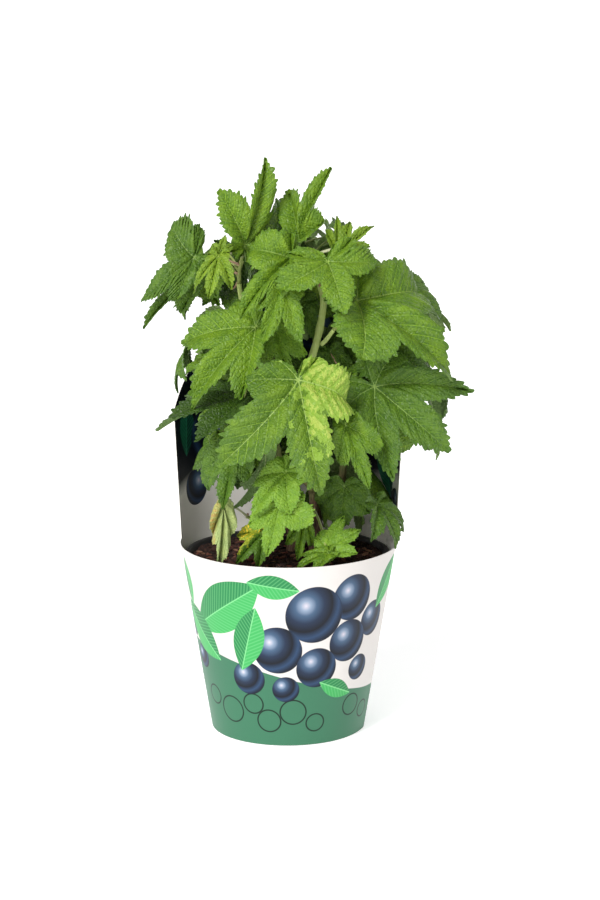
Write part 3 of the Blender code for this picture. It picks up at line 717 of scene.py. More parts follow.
class Blade:
    """A leaf blade in space: where the points of a flat pattern go.

    The blade runs from the stalk joint and passes through the three lobe
    tips; it bends evenly across and arches evenly along. The heel of a side
    whose lobe is short is short too.
    """

    def __init__(self, joint, middle, left, right, arch):
        joint, middle, left, right = (np.array(p, float) for p in (joint, middle, left, right))
        self.joint = joint
        self.along = middle - joint
        self.size = float(np.linalg.norm(self.along))
        normal = np.cross(self.along, left - right)
        self.normal = normal / np.linalg.norm(normal)
        self.arch = arch
        base = self.along * SIDE_LOBE_U + self.normal * self.lift(SIDE_LOBE_U, SIDE_LOBE_V)
        to_left = left - joint - base
        to_right = right - joint - base
        self.across = (to_left - to_right) / (2.0 * SIDE_LOBE_V)
        self.curl = (to_left + to_right) / (2.0 * SIDE_LOBE_V ** 2)
        reach = [np.linalg.norm(tip - joint) / self.size / SIDE_LOBE_RADIUS for tip in (left, right)]
        self.heels = [min(max(share, SHORTEST_HEEL), 1.0) for share in reach]

    def lift(self, u, v):
        """How far the arch raises a point of the pattern."""
        reach = np.hypot(u, v)
        return self.size * self.arch * 4.0 * (reach - reach * reach)

    def at(self, u, v, offset=0.0):
        """Rows of points in space for points of the flat pattern."""
        u = np.atleast_1d(np.asarray(u, float))
        v = np.atleast_1d(np.asarray(v, float))
        heel = np.where(v > 0, self.heels[0], self.heels[1])
        shrink = 1.0 - (1.0 - heel) * np.clip((HEEL_START - u) / HEEL_REACH, 0.0, 1.0)
        u, v = u * shrink, v * shrink
        rise = self.lift(u, v) + offset
        return (self.joint + np.outer(u, self.along) + np.outer(v, self.across)
                + np.outer(v * v, self.curl) + np.outer(rise, self.normal))

    def stalk_end(self, offset=0.0):
        """Place in the blade where its stalk ends."""
        return Vector(self.at(STALK_END, 0.0, offset)[0])


def blade_tree(blade):
    """Search tree of a blade with room left on both faces."""
    half = LEAF_THICKNESS / 2 + LEAF_CLEARANCE
    points, faces = [], []
    for offset in (half, 0.0, -half):
        shift = len(points)
        points += blade.at(COARSE_POINTS[:, 0], COARSE_POINTS[:, 1], offset).tolist()
        faces += [tuple(i + shift for i in face) for face in COARSE_FACES]
    return BVHTree.FromPolygons(points, faces)


def stalk_starts(stem, joint):
    """Places on a stem where a leaf stalk can start, the nearest first."""
    starts = []
    for a, b in zip(stem, stem[1:]):
        steps = max(int((b - a).length / STALK_SPACING), 1)
        starts += [a.lerp(b, (k + 0.8) / (steps + 0.8)) for k in range(steps)]
    starts = [place for place in starts if (place - stem[0]).length > STALK_ROOM]
    return sorted(starts, key=lambda place: (place - joint).length)[:STALK_TRIES]


def stalk_path(start, bow, blade, steps=3, offset=0.0):
    """Path of a leaf stalk from the stem to its end inside the blade."""
    joint, end = Vector(blade.joint), blade.stalk_end(offset)
    span = (end - start).length
    first = start + (end - start) * 0.35 + Vector((0, 0, bow * span))
    last = joint - (joint - start).normalized() * span * 0.2 + Vector((0, 0, bow * span * 0.6))
    path = []
    for k in range(steps + 1):
        t = k / steps
        s = 1 - t
        path.append(start * s ** 3 + first * 3 * t * s * s + last * 3 * t * t * s + end * t ** 3)
    return path


def stalk_tree(start, bow, blade):
    """Search tree of a leaf stalk with room left around it."""
    return prism_tree(stalk_path(start, bow, blade), STALK_RADIUS + LEAF_CLEARANCE)


def heading(azimuth, rise):
    """Unit vector from degrees of azimuth and rise."""
    a, e = math.radians(azimuth), math.radians(rise)
    return Vector((math.cos(e) * math.cos(a), math.cos(e) * math.sin(a), math.sin(e)))


def inside(place, middle, half):
    """Tell whether a place is in the ellipsoid of a mass's space."""
    return sum(((p - m) / h) ** 2 for p, m, h in zip(place, middle, half)) <= 1.0


def seeded_leaf(centre, half, number, trial, chance, sizes):
    """Propose a leaf of a golden-angle spiral in the space of a mass."""
    azimuth = GOLDEN_ANGLE * number + SEEDED_TURN * trial + chance.uniform(-15, 15)
    outward = heading(azimuth, chance.uniform(*SEEDED_RISE))
    depth = chance.uniform(*SEEDED_DEPTH)
    joint = Vector(c + o * h * depth for c, o, h in zip(centre, outward, half))
    size = chance.uniform(*sizes) - SEEDED_SHRINK * trial
    along = heading(azimuth + chance.uniform(-30, 30), chance.uniform(*SEEDED_DROOP))
    side = Vector((0, 0, 1)).cross(along).normalized()
    up = along.cross(side)
    middle = joint + along * size
    reach = joint + along * (SIDE_LOBE_U * size) - up * (SEEDED_SAG * size)
    left = reach + side * (SIDE_LOBE_V * size)
    right = reach - side * (SIDE_LOBE_V * size)
    return joint, middle, left, right, chance.uniform(*SEEDED_ARCH)


def try_leaf(stem, leaf, blocks, own_stalks=()):
    """Return the stalk's start, bow and blade if the leaf is clear, else None.

    The blade keeps clear of its mass's own stalks, and its stalk needn't.
    """
    blade = Blade(*leaf)
    tree = blade_tree(blade)
    if touches(tree, blocks) or touches(tree, own_stalks):
        return None
    for start in stalk_starts(stem, Vector(blade.joint)):
        for bow in STALK_BOWS:
            if not touches(stalk_tree(start, bow, blade), blocks):
                return start, bow, blade
    return None


class Crown:
    """The leaves of all the masses, and the space that they take up."""

    def __init__(self, stems, solid_trees):
        self.stems = stems
        self.solid = solid_trees
        self.leaves = {name: [] for name in stems}
        self.blocks = {name: [] for name in stems}
        self.stalks = {name: [] for name in stems}
        for name, stem in stems.items():
            self.blocks[name].append(prism_tree(stem, MASS_STEM_RADIUS + LEAF_CLEARANCE))

    def others(self, name):
        """Search trees of everything but one mass."""
        rest = [key for key in self.stems if key != name]
        return self.solid + [tree for key in rest for tree in self.blocks[key] + self.stalks[key]]

    def accept(self, name, made, look):
        """Keep a leaf and block its space."""
        self.leaves[name].append((*made, look))
        self.blocks[name].append(blade_tree(made[2]))
        self.stalks[name].append(stalk_tree(*made))

    def show(self, table):
        """Add leaves whose places are given, where there is room."""
        for name, leaves in table.items():
            others = self.others(name)
            for *leaf, tint, variant, keel in leaves:
                made = try_leaf(self.stems[name], leaf, others)
                if made:
                    self.accept(name, made, (tint, variant, keel))

    def seed(self, name, count, centre, half, chance, sizes, tints):
        """Add seeded leaves to a mass where there is room."""
        others = self.others(name)
        for number in range(count):
            for trial in range(SEED_TRIALS):
                leaf = seeded_leaf(centre, half, number, trial, chance, sizes)
                if not all(inside(tip, centre, half) for tip in leaf[:4]):
                    continue
                blocks = others + self.blocks[name][1:]
                made = try_leaf(self.stems[name], leaf, blocks, self.stalks[name])
                if made:
                    keel = 0.20 + 0.10 * (trial % 4)
                    self.accept(name, made, (tints[number % len(tints)], trial % VARIANTS, keel))
                    break


def plan_crown(stems, solid_trees):
    """Place the shown leaves, the source's seeded ones, then smaller ones."""
    crown = Crown(stems, solid_trees)
    crown.show(SHOWN_LEAVES)
    for seed, (name, _, _, _, count, _, centre, half) in enumerate(MASSES):
        crown.seed(name, count, centre, half, random.Random(seed), SEEDED_SIZES, SEEDED_TINTS)
    crown.show(EXTRA_LEAVES)
    for seed, (name, _, _, _, _, count, centre, half) in enumerate(MASSES):
        chance = random.Random(100 + seed)
        crown.seed(name, count, centre, half, chance, SMALL_SIZES, SMALL_TINTS)
    return crown


# The fine blade: outline, veins and relief of a flat leaf, one unit long


def toothed_side(start, end, bow, toward, depth, period, chance):
    """Points of a bowed side of a lobe, with teeth that point one way."""
    start, end = np.array(start), np.array(end)
    chord = end - start
    length = float(np.hypot(*chord))
    outward = np.array((chord[1], -chord[0])) / length
    count = max(int(round(length / period)), 1)
    shifts = [0] + [chance.uniform(-TOOTH_SHIFT, TOOTH_SHIFT) for _ in range(count - 1)] + [0]
    breaks = [(k + shift) / count for k, shift in enumerate(shifts)]
    shape = list(TOOTH_SHAPE)
    if toward < 0:
        shape = shape[:1] + [(1 - share, out) for share, out in reversed(shape[1:])]
    points = []
    for k in range(count):
        from_tip = count - 1 - k if toward > 0 else k
        from_sinus = count - 1 - from_tip
        tall = depth * TOOTH_SIZES[k % len(TOOTH_SIZES)] * chance.uniform(*TOOTH_CHANCE)
        tall *= min(1.0, TIP_TEETH[0] + TIP_TEETH[1] * from_tip,
                    SINUS_TEETH[0] + SINUS_TEETH[1] * from_sinus)
        for share, out in shape:
            t = breaks[k] + (breaks[k + 1] - breaks[k]) * share
            lean = LEAN_PEAK * (t * (1 - t) ** 2 if toward > 0 else t * t * (1 - t))
            belly = 3 * t * (1 - t) + LEAN_SHARE * lean
            sink = TOOTH_SINK * depth * min(1, 4 * t, 4 * (1 - t))
            lift = bow * length * belly + tall * out - sink
            points.append(start + chord * t + outward * lift)
    return points


def half_outline(depth, shape, period, chance):
    """Outline of the left half, from the tip of the middle lobe to the notch."""
    cut, base = shape
    factors = (1.0, cut, 1.0, cut, base, base, 1.0)
    corners = [polar(angle, radius * factor)
               for (angle, radius), factor in zip(OUTLINE_CORNERS, factors)]
    depths = [depth] * (len(OUTLINE_SIDES) - 1) + [depth * NOTCH_TEETH]
    points = []
    for start, end, (bow, toward), tall in zip(corners, corners[1:], OUTLINE_SIDES, depths):
        points += toothed_side(start, end, bow, toward, tall, period, chance)
    return points + [np.array(corners[-1])]


def outline(depth, shape, period, chance):
    """Closed outline of the blade, anticlockwise from the middle lobe's tip."""
    left = half_outline(depth, shape, period, chance)
    right = [p * np.array((1, -1)) for p in half_outline(depth, shape, period, chance)]
    return np.array(left + right[-2:0:-1])


def in_outline(points, loop):
    """Tell for each point whether it is inside a closed outline."""
    points = np.atleast_2d(points)
    a, b = loop, np.roll(loop, -1, axis=0)
    x, y = points[:, :1], points[:, 1:]
    spans = (a[:, 1] > y) != (b[:, 1] > y)
    rise = np.where(np.abs(b[:, 1] - a[:, 1]) < 1e-12, 1e-12, b[:, 1] - a[:, 1])
    cross_x = a[:, 0] + (y - a[:, 1]) / rise * (b[:, 0] - a[:, 0])
    return np.count_nonzero(spans & (x < cross_x), axis=1) % 2 == 1


def distance_to(points, lines):
    """Distance from each point to the nearest of some broken lines."""
    starts = np.concatenate([line[:-1] for line in lines])
    steps = np.concatenate([line[1:] - line[:-1] for line in lines])
    lengths = np.maximum((steps ** 2).sum(1), 1e-12)
    away = points[:, None, :] - starts[None]
    t = np.clip((away * steps).sum(2) / lengths, 0, 1)
    return np.sqrt(((away - t[..., None] * steps) ** 2).sum(2).min(1))


def main_vein(angle, radius, step, chance):
    """Line of a main vein from the hub to the tip of its lobe."""
    bend = VEIN_BEND * np.sign(angle) + chance.uniform(-VEIN_SWAY, VEIN_SWAY)
    middle = np.array(polar(angle + bend, radius * 0.5))
    tip = np.array(polar(angle, radius))
    start = np.array(polar(angle + bend, HUB_RADIUS * 0.8))
    t = np.linspace(0, 1, max(int(radius / step), 4))[:, None]
    return start * (1 - t) ** 2 + middle * 2 * t * (1 - t) + tip * t * t


def side_vein(start, turn, sector, smooth):
    """Line of a side vein that curves forward until the edge of its lobe."""
    place, line = np.array(start), []
    for k in range(40):
        line.append(place.copy())
        ahead = place + SIDE_STEP * np.array(polar(turn[0] + turn[1] * k, 1.0))
        angle = math.degrees(math.atan2(ahead[1], ahead[0]))
        near_edge = not in_outline(ahead + (ahead - place) * 0.4, smooth)[0]
        if near_edge or not sector[0] < angle < sector[1]:
            break
        place = ahead
    return np.array(line[:-1:2] + line[-1:])


def side_veins(line, sector, smooth, chance):
    """Side veins on both sides of a main vein."""
    veins = []
    lengths = np.concatenate([[0], np.cumsum(np.hypot(*np.diff(line, axis=0).T))])
    for side in (1, -1):
        along = SIDE_SPACING * (1.0 if side > 0 else 1.4)
        while along < lengths[-1] * 0.93:
            share = along / lengths[-1]
            place = np.array([np.interp(along, lengths, line[:, i]) for i in range(2)])
            ahead = np.array([np.interp(along + 0.01, lengths, line[:, i]) for i in range(2)])
            forward = math.degrees(math.atan2(*(ahead - place)[::-1]))
            open_angle = side * (44 - 8 * share + chance.uniform(-3, 3))
            start = place + 0.012 * np.array(polar(forward + open_angle, 1.0))
            vein = side_vein(start, (forward + open_angle, -side * SIDE_CURVE), sector, smooth)
            if len(vein) > 2:
                veins.append(vein)
            along += SIDE_SPACING * chance.uniform(0.9, 1.1) * (1.15 - 0.4 * share)
    return veins


def strip_edges(line, first, last):
    """Both edges of a tapering vein along a line."""
    ahead = np.gradient(line, axis=0)
    ahead /= np.maximum(np.hypot(ahead[:, 0], ahead[:, 1]), 1e-9)[:, None]
    across = np.stack([-ahead[:, 1], ahead[:, 0]], 1)
    width = np.linspace(first, last, len(line))[:, None]
    return line + across * width, line - across * width


def triangulate(margin, lines, loose):
    """Fill a margin with triangles that follow some lines and loose points."""
    points = [Vector(p) for p in margin]
    edges = []
    for line in lines:
        base = len(points)
        points += [Vector(p) for p in line]
        edges += [(base + k, base + k + 1) for k in range(len(line) - 1)]
    points += [Vector(p) for p in loose]
    found, _, faces, _, _, _ = delaunay_2d_cdt(points, edges, [list(range(len(margin)))], 1, 1e-5)
    return np.array([(p.x, p.y) for p in found]), np.array(faces)


def loose_points(margin, strips, step, chance):
    """Points of a jittered grid between the veins."""
    rows = []
    for i in range(int(1.6 / (step * 0.87))):
        for j in range(int(1.7 / step)):
            rows.append((-0.5 + (i * 0.87 + chance.uniform(-0.18, 0.18)) * step,
                         -0.85 + (j + 0.5 * (i % 2) + chance.uniform(-0.18, 0.18)) * step))
    rows = np.array(rows)
    rows = rows[in_outline(rows, margin)]
    closed = np.vstack([margin, margin[:1]])
    return rows[distance_to(rows, strips + [closed]) > 0.5 * step]


def open_edges(faces):
    """Directed edges that only one face has, in order."""
    pairs = np.concatenate([np.stack([faces[:, k - 1], faces[:, k]], 1) for k in range(faces.shape[1])])
    known = set(map(tuple, pairs.tolist()))
    return np.array(sorted((a, b) for a, b in known if (b, a) not in known))


def rim_loop(points, faces):
    """Numbers of the points of the margin, in order from the middle lobe's tip."""
    onward = dict(open_edges(faces).tolist())
    loop = [int(np.argmax(points[:, 0]))]
    while onward[loop[-1]] != loop[0]:
        loop.append(onward[loop[-1]])
    return np.array(loop)


class Sheet:
    """One side of a flat leaf: triangles, relief and kinds of face."""

    def __init__(self, points, faces, main, side, smooth):
        self.points, self.faces = points, faces
        self.rim = rim_loop(points, faces)
        self.angle = np.arctan2(points[:, 1], points[:, 0])
        self.reach = np.hypot(*points.T)
        hub = np.clip(self.reach / HUB_REACH, 0, 1)
        edge = np.clip(distance_to(points, [np.vstack([smooth, smooth[:1]])]) / EDGE_REACH, 0, 1)
        edge = np.where(in_outline(points, smooth), edge, 0)
        to_vein = distance_to(points, main + side)
        swell = np.clip((to_vein - 0.002) / QUILT_REACH, 0, 1)
        self.quilt = np.sin(swell * math.pi / 2) * edge * hub
        to_main = np.clip(distance_to(points, main) / KEEL_REACH, 0, 1)
        self.keel = KEEL_REACH * np.sin(to_main * math.pi / 2) * hub
        self.ribs = to_vein < RIB_REACH

    def classify(self, main, side, seed, chance):
        """Set the kind of each face: vein, rib, or one of three levels. The levels mix random spots and
        grain with painted light from the relief: painted shade in the grooves by the veins, a painted
        highlight on the crests between them.
        """
        self.centres = self.points[self.faces].mean(1)
        reach = np.hypot(*self.centres.T)
        to_main = distance_to(self.centres, main)
        in_main = to_main < MAIN_WIDTH * (1.0 - 0.72 * np.clip(reach, 0, 1)) * 0.98
        in_side = distance_to(self.centres, side) < SIDE_WIDTH * 0.8
        spots = np.array([noise.noise(Vector((x * 7, y * 7, seed * 7.0))) for x, y in self.centres])
        flecks = np.array([noise.noise(Vector((x * 24, y * 24, 3.0))) for x, y in self.centres])
        grain = np.array([chance.uniform(-1, 1) for _ in self.centres])
        swell = self.quilt[self.faces].mean(1)
        # Painted light and shade: the swelling darkens faces in the grooves by the veins and lightens
        # those on the crests.
        total = spots * SPOT_WEIGHT + grain * GRAIN_WEIGHT + SWELL_SHADING_WEIGHT * (swell - SWELL_MIDDLE)
        level = np.where(total > PALE_AND_LIT_TONE, PALE_AND_LIT_CREST, np.where(total < SHADE_TONE, SHADE, BODY_TONE))
        level = np.where(in_side, RIB, level)
        self.kinds = np.where(in_main | (reach < HUB_RADIUS), VEIN, level)
        self.spots, self.flecks, self.swell = spots, flecks, swell


class Pattern:
    """A flat leaf, one unit long, with a fine upper side and a plainer under one."""

    def __init__(self, seed, detail):
        period, step, under_step = detail
        chance = random.Random(500 + seed)
        margin = outline(TOOTH_DEPTH, SHAPES[seed], period, chance)
        smooth = outline(0.0, SHAPES[seed], period, random.Random(0))
        main, side, strips = [], [], []
        for angle, radius, sector in MAIN_VEINS:
            radius = radius * (SHAPES[seed][1] if abs(angle) > 90 else 1.0)
            line = main_vein(angle, radius, 1.25 * step, chance)
            main.append(line)
            strips += strip_edges(line, MAIN_WIDTH * (0.45 + 0.55 * radius), 0.0018)
            side += side_veins(line, sector, smooth, chance)
        main_strips = list(strips)
        for line in side:
            strips += strip_edges(line, SIDE_WIDTH, 0.0014)
        loose = loose_points(margin, strips, step, chance)
        self.upper = Sheet(*triangulate(margin, strips, loose), main, side, smooth)
        self.upper.classify(main, side, seed, chance)
        rim = self.upper.points[self.upper.rim]
        ribs = [p for line in main_strips + side for p in line]
        ribs = np.array(ribs)[in_outline(np.array(ribs), rim)]
        loose = loose_points(rim, main_strips + side, under_step, chance)
        self.under = Sheet(*triangulate(rim, [], np.vstack([ribs, loose])), main, side, smooth)
        self.under.classify(main, side, seed, chance)


# Meshes


def vertex_normals(points, faces):
    """Unit normals of points that triangles join."""
    a, b, c = (points[faces[:, k]] for k in range(3))
    face_normals = np.cross(b - a, c - a)
    total = np.zeros_like(points)
    for k in range(3):
        np.add.at(total, faces[:, k], face_normals)
    return total / np.maximum(np.linalg.norm(total, axis=1), 1e-12)[:, None]


class Piece:
    """Gathers points and faces, in millimetres, for one joined mesh."""

    def __init__(self, name):
        self.name = name
        self.points, self.faces, self.slots, self.sharp = [], [], [], []
        self.base = self.count = 0
        self.materials = []

    def slot(self, material):
        """Number of a material in this piece."""
        if material not in self.materials:
            self.materials.append(material)
        return self.materials.index(material)

    def add(self, points, faces, slots, sharp=None):
        """Add points and faces of one size; slots is one number or a row."""
        self.base = self.count
        self.points.append(np.asarray(points, float))
        self.count += len(points)
        self.add_faces(faces, slots)
        if sharp is not None:
            self.sharp.append(np.asarray(sharp) + self.base)

    def add_faces(self, faces, slots):
        """Add more faces between the points that came last."""
        self.faces.append(np.asarray(faces) + self.base)
        self.slots.append(np.broadcast_to(np.asarray(slots), len(faces)))

    def build(self, replaced=()):
        """Make the object, riding on the body and standing for CAD nodes."""
        mesh = bpy.data.meshes.new(self.name)
        points = np.concatenate(self.points) * MM
        sizes = np.concatenate([np.full(len(f), f.shape[1]) for f in self.faces])
        corners = np.concatenate([f.ravel() for f in self.faces])
        mesh.vertices.add(len(points))
        mesh.vertices.foreach_set("co", points.ravel())
        mesh.loops.add(len(corners))
        mesh.loops.foreach_set("vertex_index", corners)
        mesh.polygons.add(len(sizes))
        mesh.polygons.foreach_set("loop_start", np.concatenate([[0], np.cumsum(sizes)[:-1]]))
        mesh.polygons.foreach_set("material_index", np.concatenate(self.slots))
        for material in self.materials:
            mesh.materials.append(material)
        mesh.update(calc_edges=True)
        mesh.shade_smooth()
        if self.sharp:
            self.mark_sharp(mesh)
        mesh.validate()
        item = bpy.data.objects.new(self.name, mesh)
        bpy.context.scene.collection.objects.link(item)
        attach(item, BODY)
        if replaced:
            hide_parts(*replaced)
        return item

    def mark_sharp(self, mesh):
        """Keep the shading of the two sheets apart at the margin."""
        ends = np.zeros(len(mesh.edges) * 2, np.int64)
        mesh.edges.foreach_get("vertices", ends)
        ends = np.sort(ends.reshape(-1, 2), axis=1)
        wanted = np.sort(np.concatenate(self.sharp), axis=1)
        keys = ends[:, 0] * self.count + ends[:, 1]
        marks = np.isin(keys, wanted[:, 0] * self.count + wanted[:, 1])
        mark = mesh.attributes.new("sharp_edge", "BOOLEAN", "EDGE")
        mark.data.foreach_set("value", marks)


def rings_along(path):
    """Unit side and upper vectors of rings along a path, without twist."""
    path = np.asarray(path, float)
    ahead = np.gradient(path, axis=0)
    ahead /= np.linalg.norm(ahead, axis=1)[:, None]
    side = np.cross(ahead[0], (0.31, 0.52, 0.79))
    sides = []
    for step in ahead:
        side = side - step * side.dot(step)
        side /= np.linalg.norm(side)
        sides.append(side)
    sides = np.array(sides)
    return sides, np.cross(ahead, sides)


def ring_quads(rows, steps):
    """Quads between closed rings of points."""
    row, k = np.arange(rows - 1)[:, None] * steps, np.arange(steps)
    n = (k + 1) % steps
    return np.stack([row + k, row + n, row + steps + n, row + steps + k], -1).reshape(-1, 4)


def tube(path, radii, sides):
    """Points and faces of a capped tube; radii is a row or a grid."""
    path = np.asarray(path, float)
    radii = np.asarray(radii, float)
    if radii.ndim == 1:
        radii = np.repeat(radii[:, None], sides, axis=1)
    turn = 2 * math.pi * np.arange(sides) / sides
    side, upper = rings_along(path)
    ring = (side[:, None] * np.cos(turn)[:, None] + upper[:, None] * np.sin(turn)[:, None])
    points = (path[:, None] + ring * radii[..., None]).reshape(-1, 3)
    ends = np.array([path[0], path[-1]])
    first, last = len(points), len(points) + 1
    top = (len(path) - 1) * sides
    pairs = [(k, (k + 1) % sides) for k in range(sides)]
    caps = [(first, b, a) for a, b in pairs] + [(last, top + a, top + b) for a, b in pairs]
    return np.vstack([points, ends]), ring_quads(len(path), sides), np.array(caps)


def add_tube(piece, path, radii, sides, slot):
    """Add a capped tube to a piece."""
    points, quads, caps = tube(path, radii, sides)
    piece.add(points, quads, slot)
    piece.add_faces(caps, slot)


# Materials


class Signal:
    """A number in a node tree; arithmetic with it adds Math nodes."""

    def __init__(self, tree, socket):
        self.tree, self.socket = tree, socket

    def __add__(self, other):
        return math_node(self.tree, "ADD", self, other)

    def __sub__(self, other):
        return math_node(self.tree, "SUBTRACT", self, other)

    def __rsub__(self, other):
        return math_node(self.tree, "SUBTRACT", other, self)

    def __mul__(self, other):
        return math_node(self.tree, "MULTIPLY", self, other)

    __rmul__ = __mul__

    def __truediv__(self, other):
        return math_node(self.tree, "DIVIDE", self, other)

    def __mod__(self, other):
        return math_node(self.tree, "MODULO", self, other)

    def __pow__(self, other):
        return math_node(self.tree, "POWER", self, other)

    def __abs__(self):
        return math_node(self.tree, "ABSOLUTE", self)

    def sine(self):
        """Sine of this number."""
        return math_node(self.tree, "SINE", self)

    def at_least(self, other):
        """The greater of this number and another."""
        return math_node(self.tree, "MAXIMUM", self, other)

    def at_most(self, other):
        """The smaller of this number and another."""
        return math_node(self.tree, "MINIMUM", self, other)

    def clamped(self):
        """This number, kept between 0 and 1."""
        self.socket.node.use_clamp = True
        return self


def put(tree, socket, value):
    """Link an output or a signal to a socket, or set the socket."""
    if isinstance(value, Signal):
        value = value.socket
    if isinstance(value, bpy.types.NodeSocket):
        tree.links.new(value, socket)
    elif isinstance(value, tuple):
        socket.default_value = (*value, 1.0)
    else:
        socket.default_value = value


def math_node(tree, operation, *values):
    """Result of a Math node."""
    node = tree.nodes.new("ShaderNodeMath")
    node.operation = operation
    for socket, value in zip(node.inputs, values):
        put(tree, socket, value)
    return Signal(tree, node.outputs[0])


def mix(factor, first, second):
    """Output of a colour Mix node."""
    node = factor.tree.nodes.new("ShaderNodeMix")
    node.data_type = "RGBA"
    put(factor.tree, node.inputs["Factor"], factor)
    put(factor.tree, node.inputs[6], first)
    put(factor.tree, node.inputs[7], second)
    return node.outputs[2]


def ramp(value, stops):
    """Output of a colour ramp; stops are places and sRGB colours."""
    node = value.tree.nodes.new("ShaderNodeValToRGB")
    elements = node.color_ramp.elements
    while len(elements) < len(stops):
        elements.new(0.5)
    for element, (place, colour) in zip(elements, stops):
        element.position = place
        element.color = (*srgb(*colour), 1.0)
    put(value.tree, node.inputs["Fac"], value)
    return node.outputs["Color"]


def split(tree, vector):
    """The three numbers of a vector."""
    node = tree.nodes.new("ShaderNodeSeparateXYZ")
    tree.links.new(vector, node.inputs[0])
    return [Signal(tree, output) for output in node.outputs]


def object_coordinates(tree):
    """Output that gives the place in the model, in metres."""
    return tree.nodes.new("ShaderNodeTexCoord").outputs["Object"]


def noise_value(tree, vector, scale, detail):
    """Number from a noise texture."""
    node = tree.nodes.new("ShaderNodeTexNoise")
    node.inputs["Scale"].default_value = scale
    node.inputs["Detail"].default_value = detail
    tree.links.new(vector, node.inputs["Vector"])
    return Signal(tree, node.outputs["Fac"])


def add_bump(tree, shader, height, strength, distance):
    """Drive the shader's normal by a height."""
    node = tree.nodes.new("ShaderNodeBump")
    node.inputs["Strength"].default_value = strength
    node.inputs["Distance"].default_value = distance
    put(tree, node.inputs["Height"], height)
    tree.links.new(node.outputs["Normal"], shader.inputs["Normal"])


def tone(name):
    """Linear form of a named colour."""
    return srgb(*COLOURS[name])


def new_material(name, colour, roughness, specular=0.5):
    """A Principled material with plain values, and its node tree."""
    material = bpy.data.materials.new(name)
    material.use_nodes = True
    shader = material.node_tree.nodes["Principled BSDF"]
    shader.inputs["Base Color"].default_value = (*colour, 1.0)
    shader.inputs["Roughness"].default_value = roughness
    shader.inputs["Specular IOR Level"].default_value = specular
    return material, material.node_tree, shader


def grained_material(name, colour, roughness, specular, grain):
    """Material of one colour; grain is its noise's scale, detail, strength, depth."""
    material, tree, shader = new_material(name, colour, roughness, specular)
    scale, detail, strength, depth = grain
    height = noise_value(tree, object_coordinates(tree), scale, detail)
    add_bump(tree, shader, height, strength, depth)
    return material


def leaf_material(name, colour, roughness):
    """Leaf skin: one colour, with a fine net of small veins in relief."""
    scale, width, strength, depth = VEIN_NET
    material, tree, shader = new_material(name, colour, roughness, LEAF_SHEEN)
    cells = tree.nodes.new("ShaderNodeTexVoronoi")
    cells.feature = "DISTANCE_TO_EDGE"
    cells.inputs["Scale"].default_value = scale
    tree.links.new(object_coordinates(tree), cells.inputs["Vector"])
    reach = tree.nodes.new("ShaderNodeMapRange")
    reach.inputs["From Max"].default_value = width
    tree.links.new(cells.outputs["Distance"], reach.inputs["Value"])
    add_bump(tree, shader, reach.outputs["Result"], strength, depth)
    return material


def leaf_materials():
    """Materials of every tint: three levels of blade, the darker and lighter ones partly painted shade
    and painted light, ribs, veins and patches.
    """
    made = {}
    for tint, (blade, vein, _, _) in TINTS.items():
        for level, factors in LEVELS:
            colour = [value * factor ** CALM.get(tint, 1.0) for value, factor in zip(blade, factors)]
            made[tint, level] = leaf_material(f"leaf_{tint}_{level}", srgb(*colour), LEAF_ROUGHNESS)
        made[tint, "vein"] = leaf_material(f"leaf_{tint}_vein", srgb(*vein), LEAF_ROUGHNESS)
    for tint, (_, _, _, colours) in PATCHES.items():
        for kind, colour in zip(FACE_KINDS[PATCH_EDGE:], colours):
            made[tint, kind] = leaf_material(f"leaf_{tint}_{kind}", srgb(*colour), 0.50)
    for name, (blade, vein) in UNDERSIDES.items():
        made[name, "body"] = leaf_material(f"under_{name}", srgb(*blade), UNDER_ROUGHNESS)
        made[name, "vein"] = leaf_material(f"under_{name}_vein", srgb(*vein), 0.55)
    return made


# Leaves, stalks and twigs


def bent_sheet(blade, sheet, folds, quilt):
    """Points of one side of a fine blade in space, and their normals.

    A blade that folds up by more than half a right angle gets narrower.
    """
    keel, wave, turns, phase, droop = folds
    base = blade.at(sheet.points[:, 0], sheet.points[:, 1] / max(keel, 1.0))
    normals = vertex_normals(base, sheet.faces)
    ripple = np.sin(turns * sheet.angle + phase) + RIPPLE * np.sin(
        (2 * turns - 3) * sheet.angle + 2.1 * phase)
    height = (min(keel, STEEPEST_FOLD) * sheet.keel + quilt * sheet.quilt
              + wave * ripple * np.clip(sheet.reach / 0.8, 0, 1.2) ** 3
              - droop * np.clip(sheet.reach - DROOP_START, 0, 1) ** 2)
    bent = base + normals * (height * blade.size)[:, None]
    return bent, vertex_normals(bent, sheet.faces)


def patched_kinds(sheet, tint):
    """Kinds of face of the upper side, with the patches of its tint."""
    if tint not in PATCHES:
        return sheet.kinds
    side, least, wander, _ = PATCHES[tint]
    x, y = sheet.centres.T
    off = side * y - least - wander * sheet.spots
    held = (np.hypot(x, y) > PATCH_HUB) & (sheet.kinds < RIB) & ((x < PATCH_TIP) | (side < 0))
    edge = off + PATCH_FRAY * sheet.flecks > -PATCH_BAND
    kinds = np.where(held & edge, PATCH_EDGE, sheet.kinds)
    inner = (sheet.flecks > PATCH_FLECK) & (sheet.swell > PATCH_SWELL)
    return np.where(held & (off > PATCH_BAND) & inner, PATCH, kinds)


def margin_faces(near, far):
    """Triangles between the rims of the two sides, and the sharp edges there."""
    near_on, far_on = np.roll(near, -1), np.roll(far, -1)
    faces = np.vstack([np.stack([near, far, far_on], 1), np.stack([near, far_on, near_on], 1)])
    return faces, np.vstack([np.stack([near, near_on], 1), np.stack([far, far_on], 1)])


def fitted_folds(blade, sheet, folds, walls):
    """Folds of a blade, made milder until it stays clear of the walls."""
    keel, wave, turns, phase, droop = folds
    for share in MILDER_FOLDS:
        milder = (keel * share, wave * share, turns, phase, droop * share)
        points, _ = bent_sheet(blade, sheet, milder, 0.0)
        if not touches(BVHTree.FromPolygons(points.tolist(), sheet.faces.tolist()), walls):
            break
    return milder


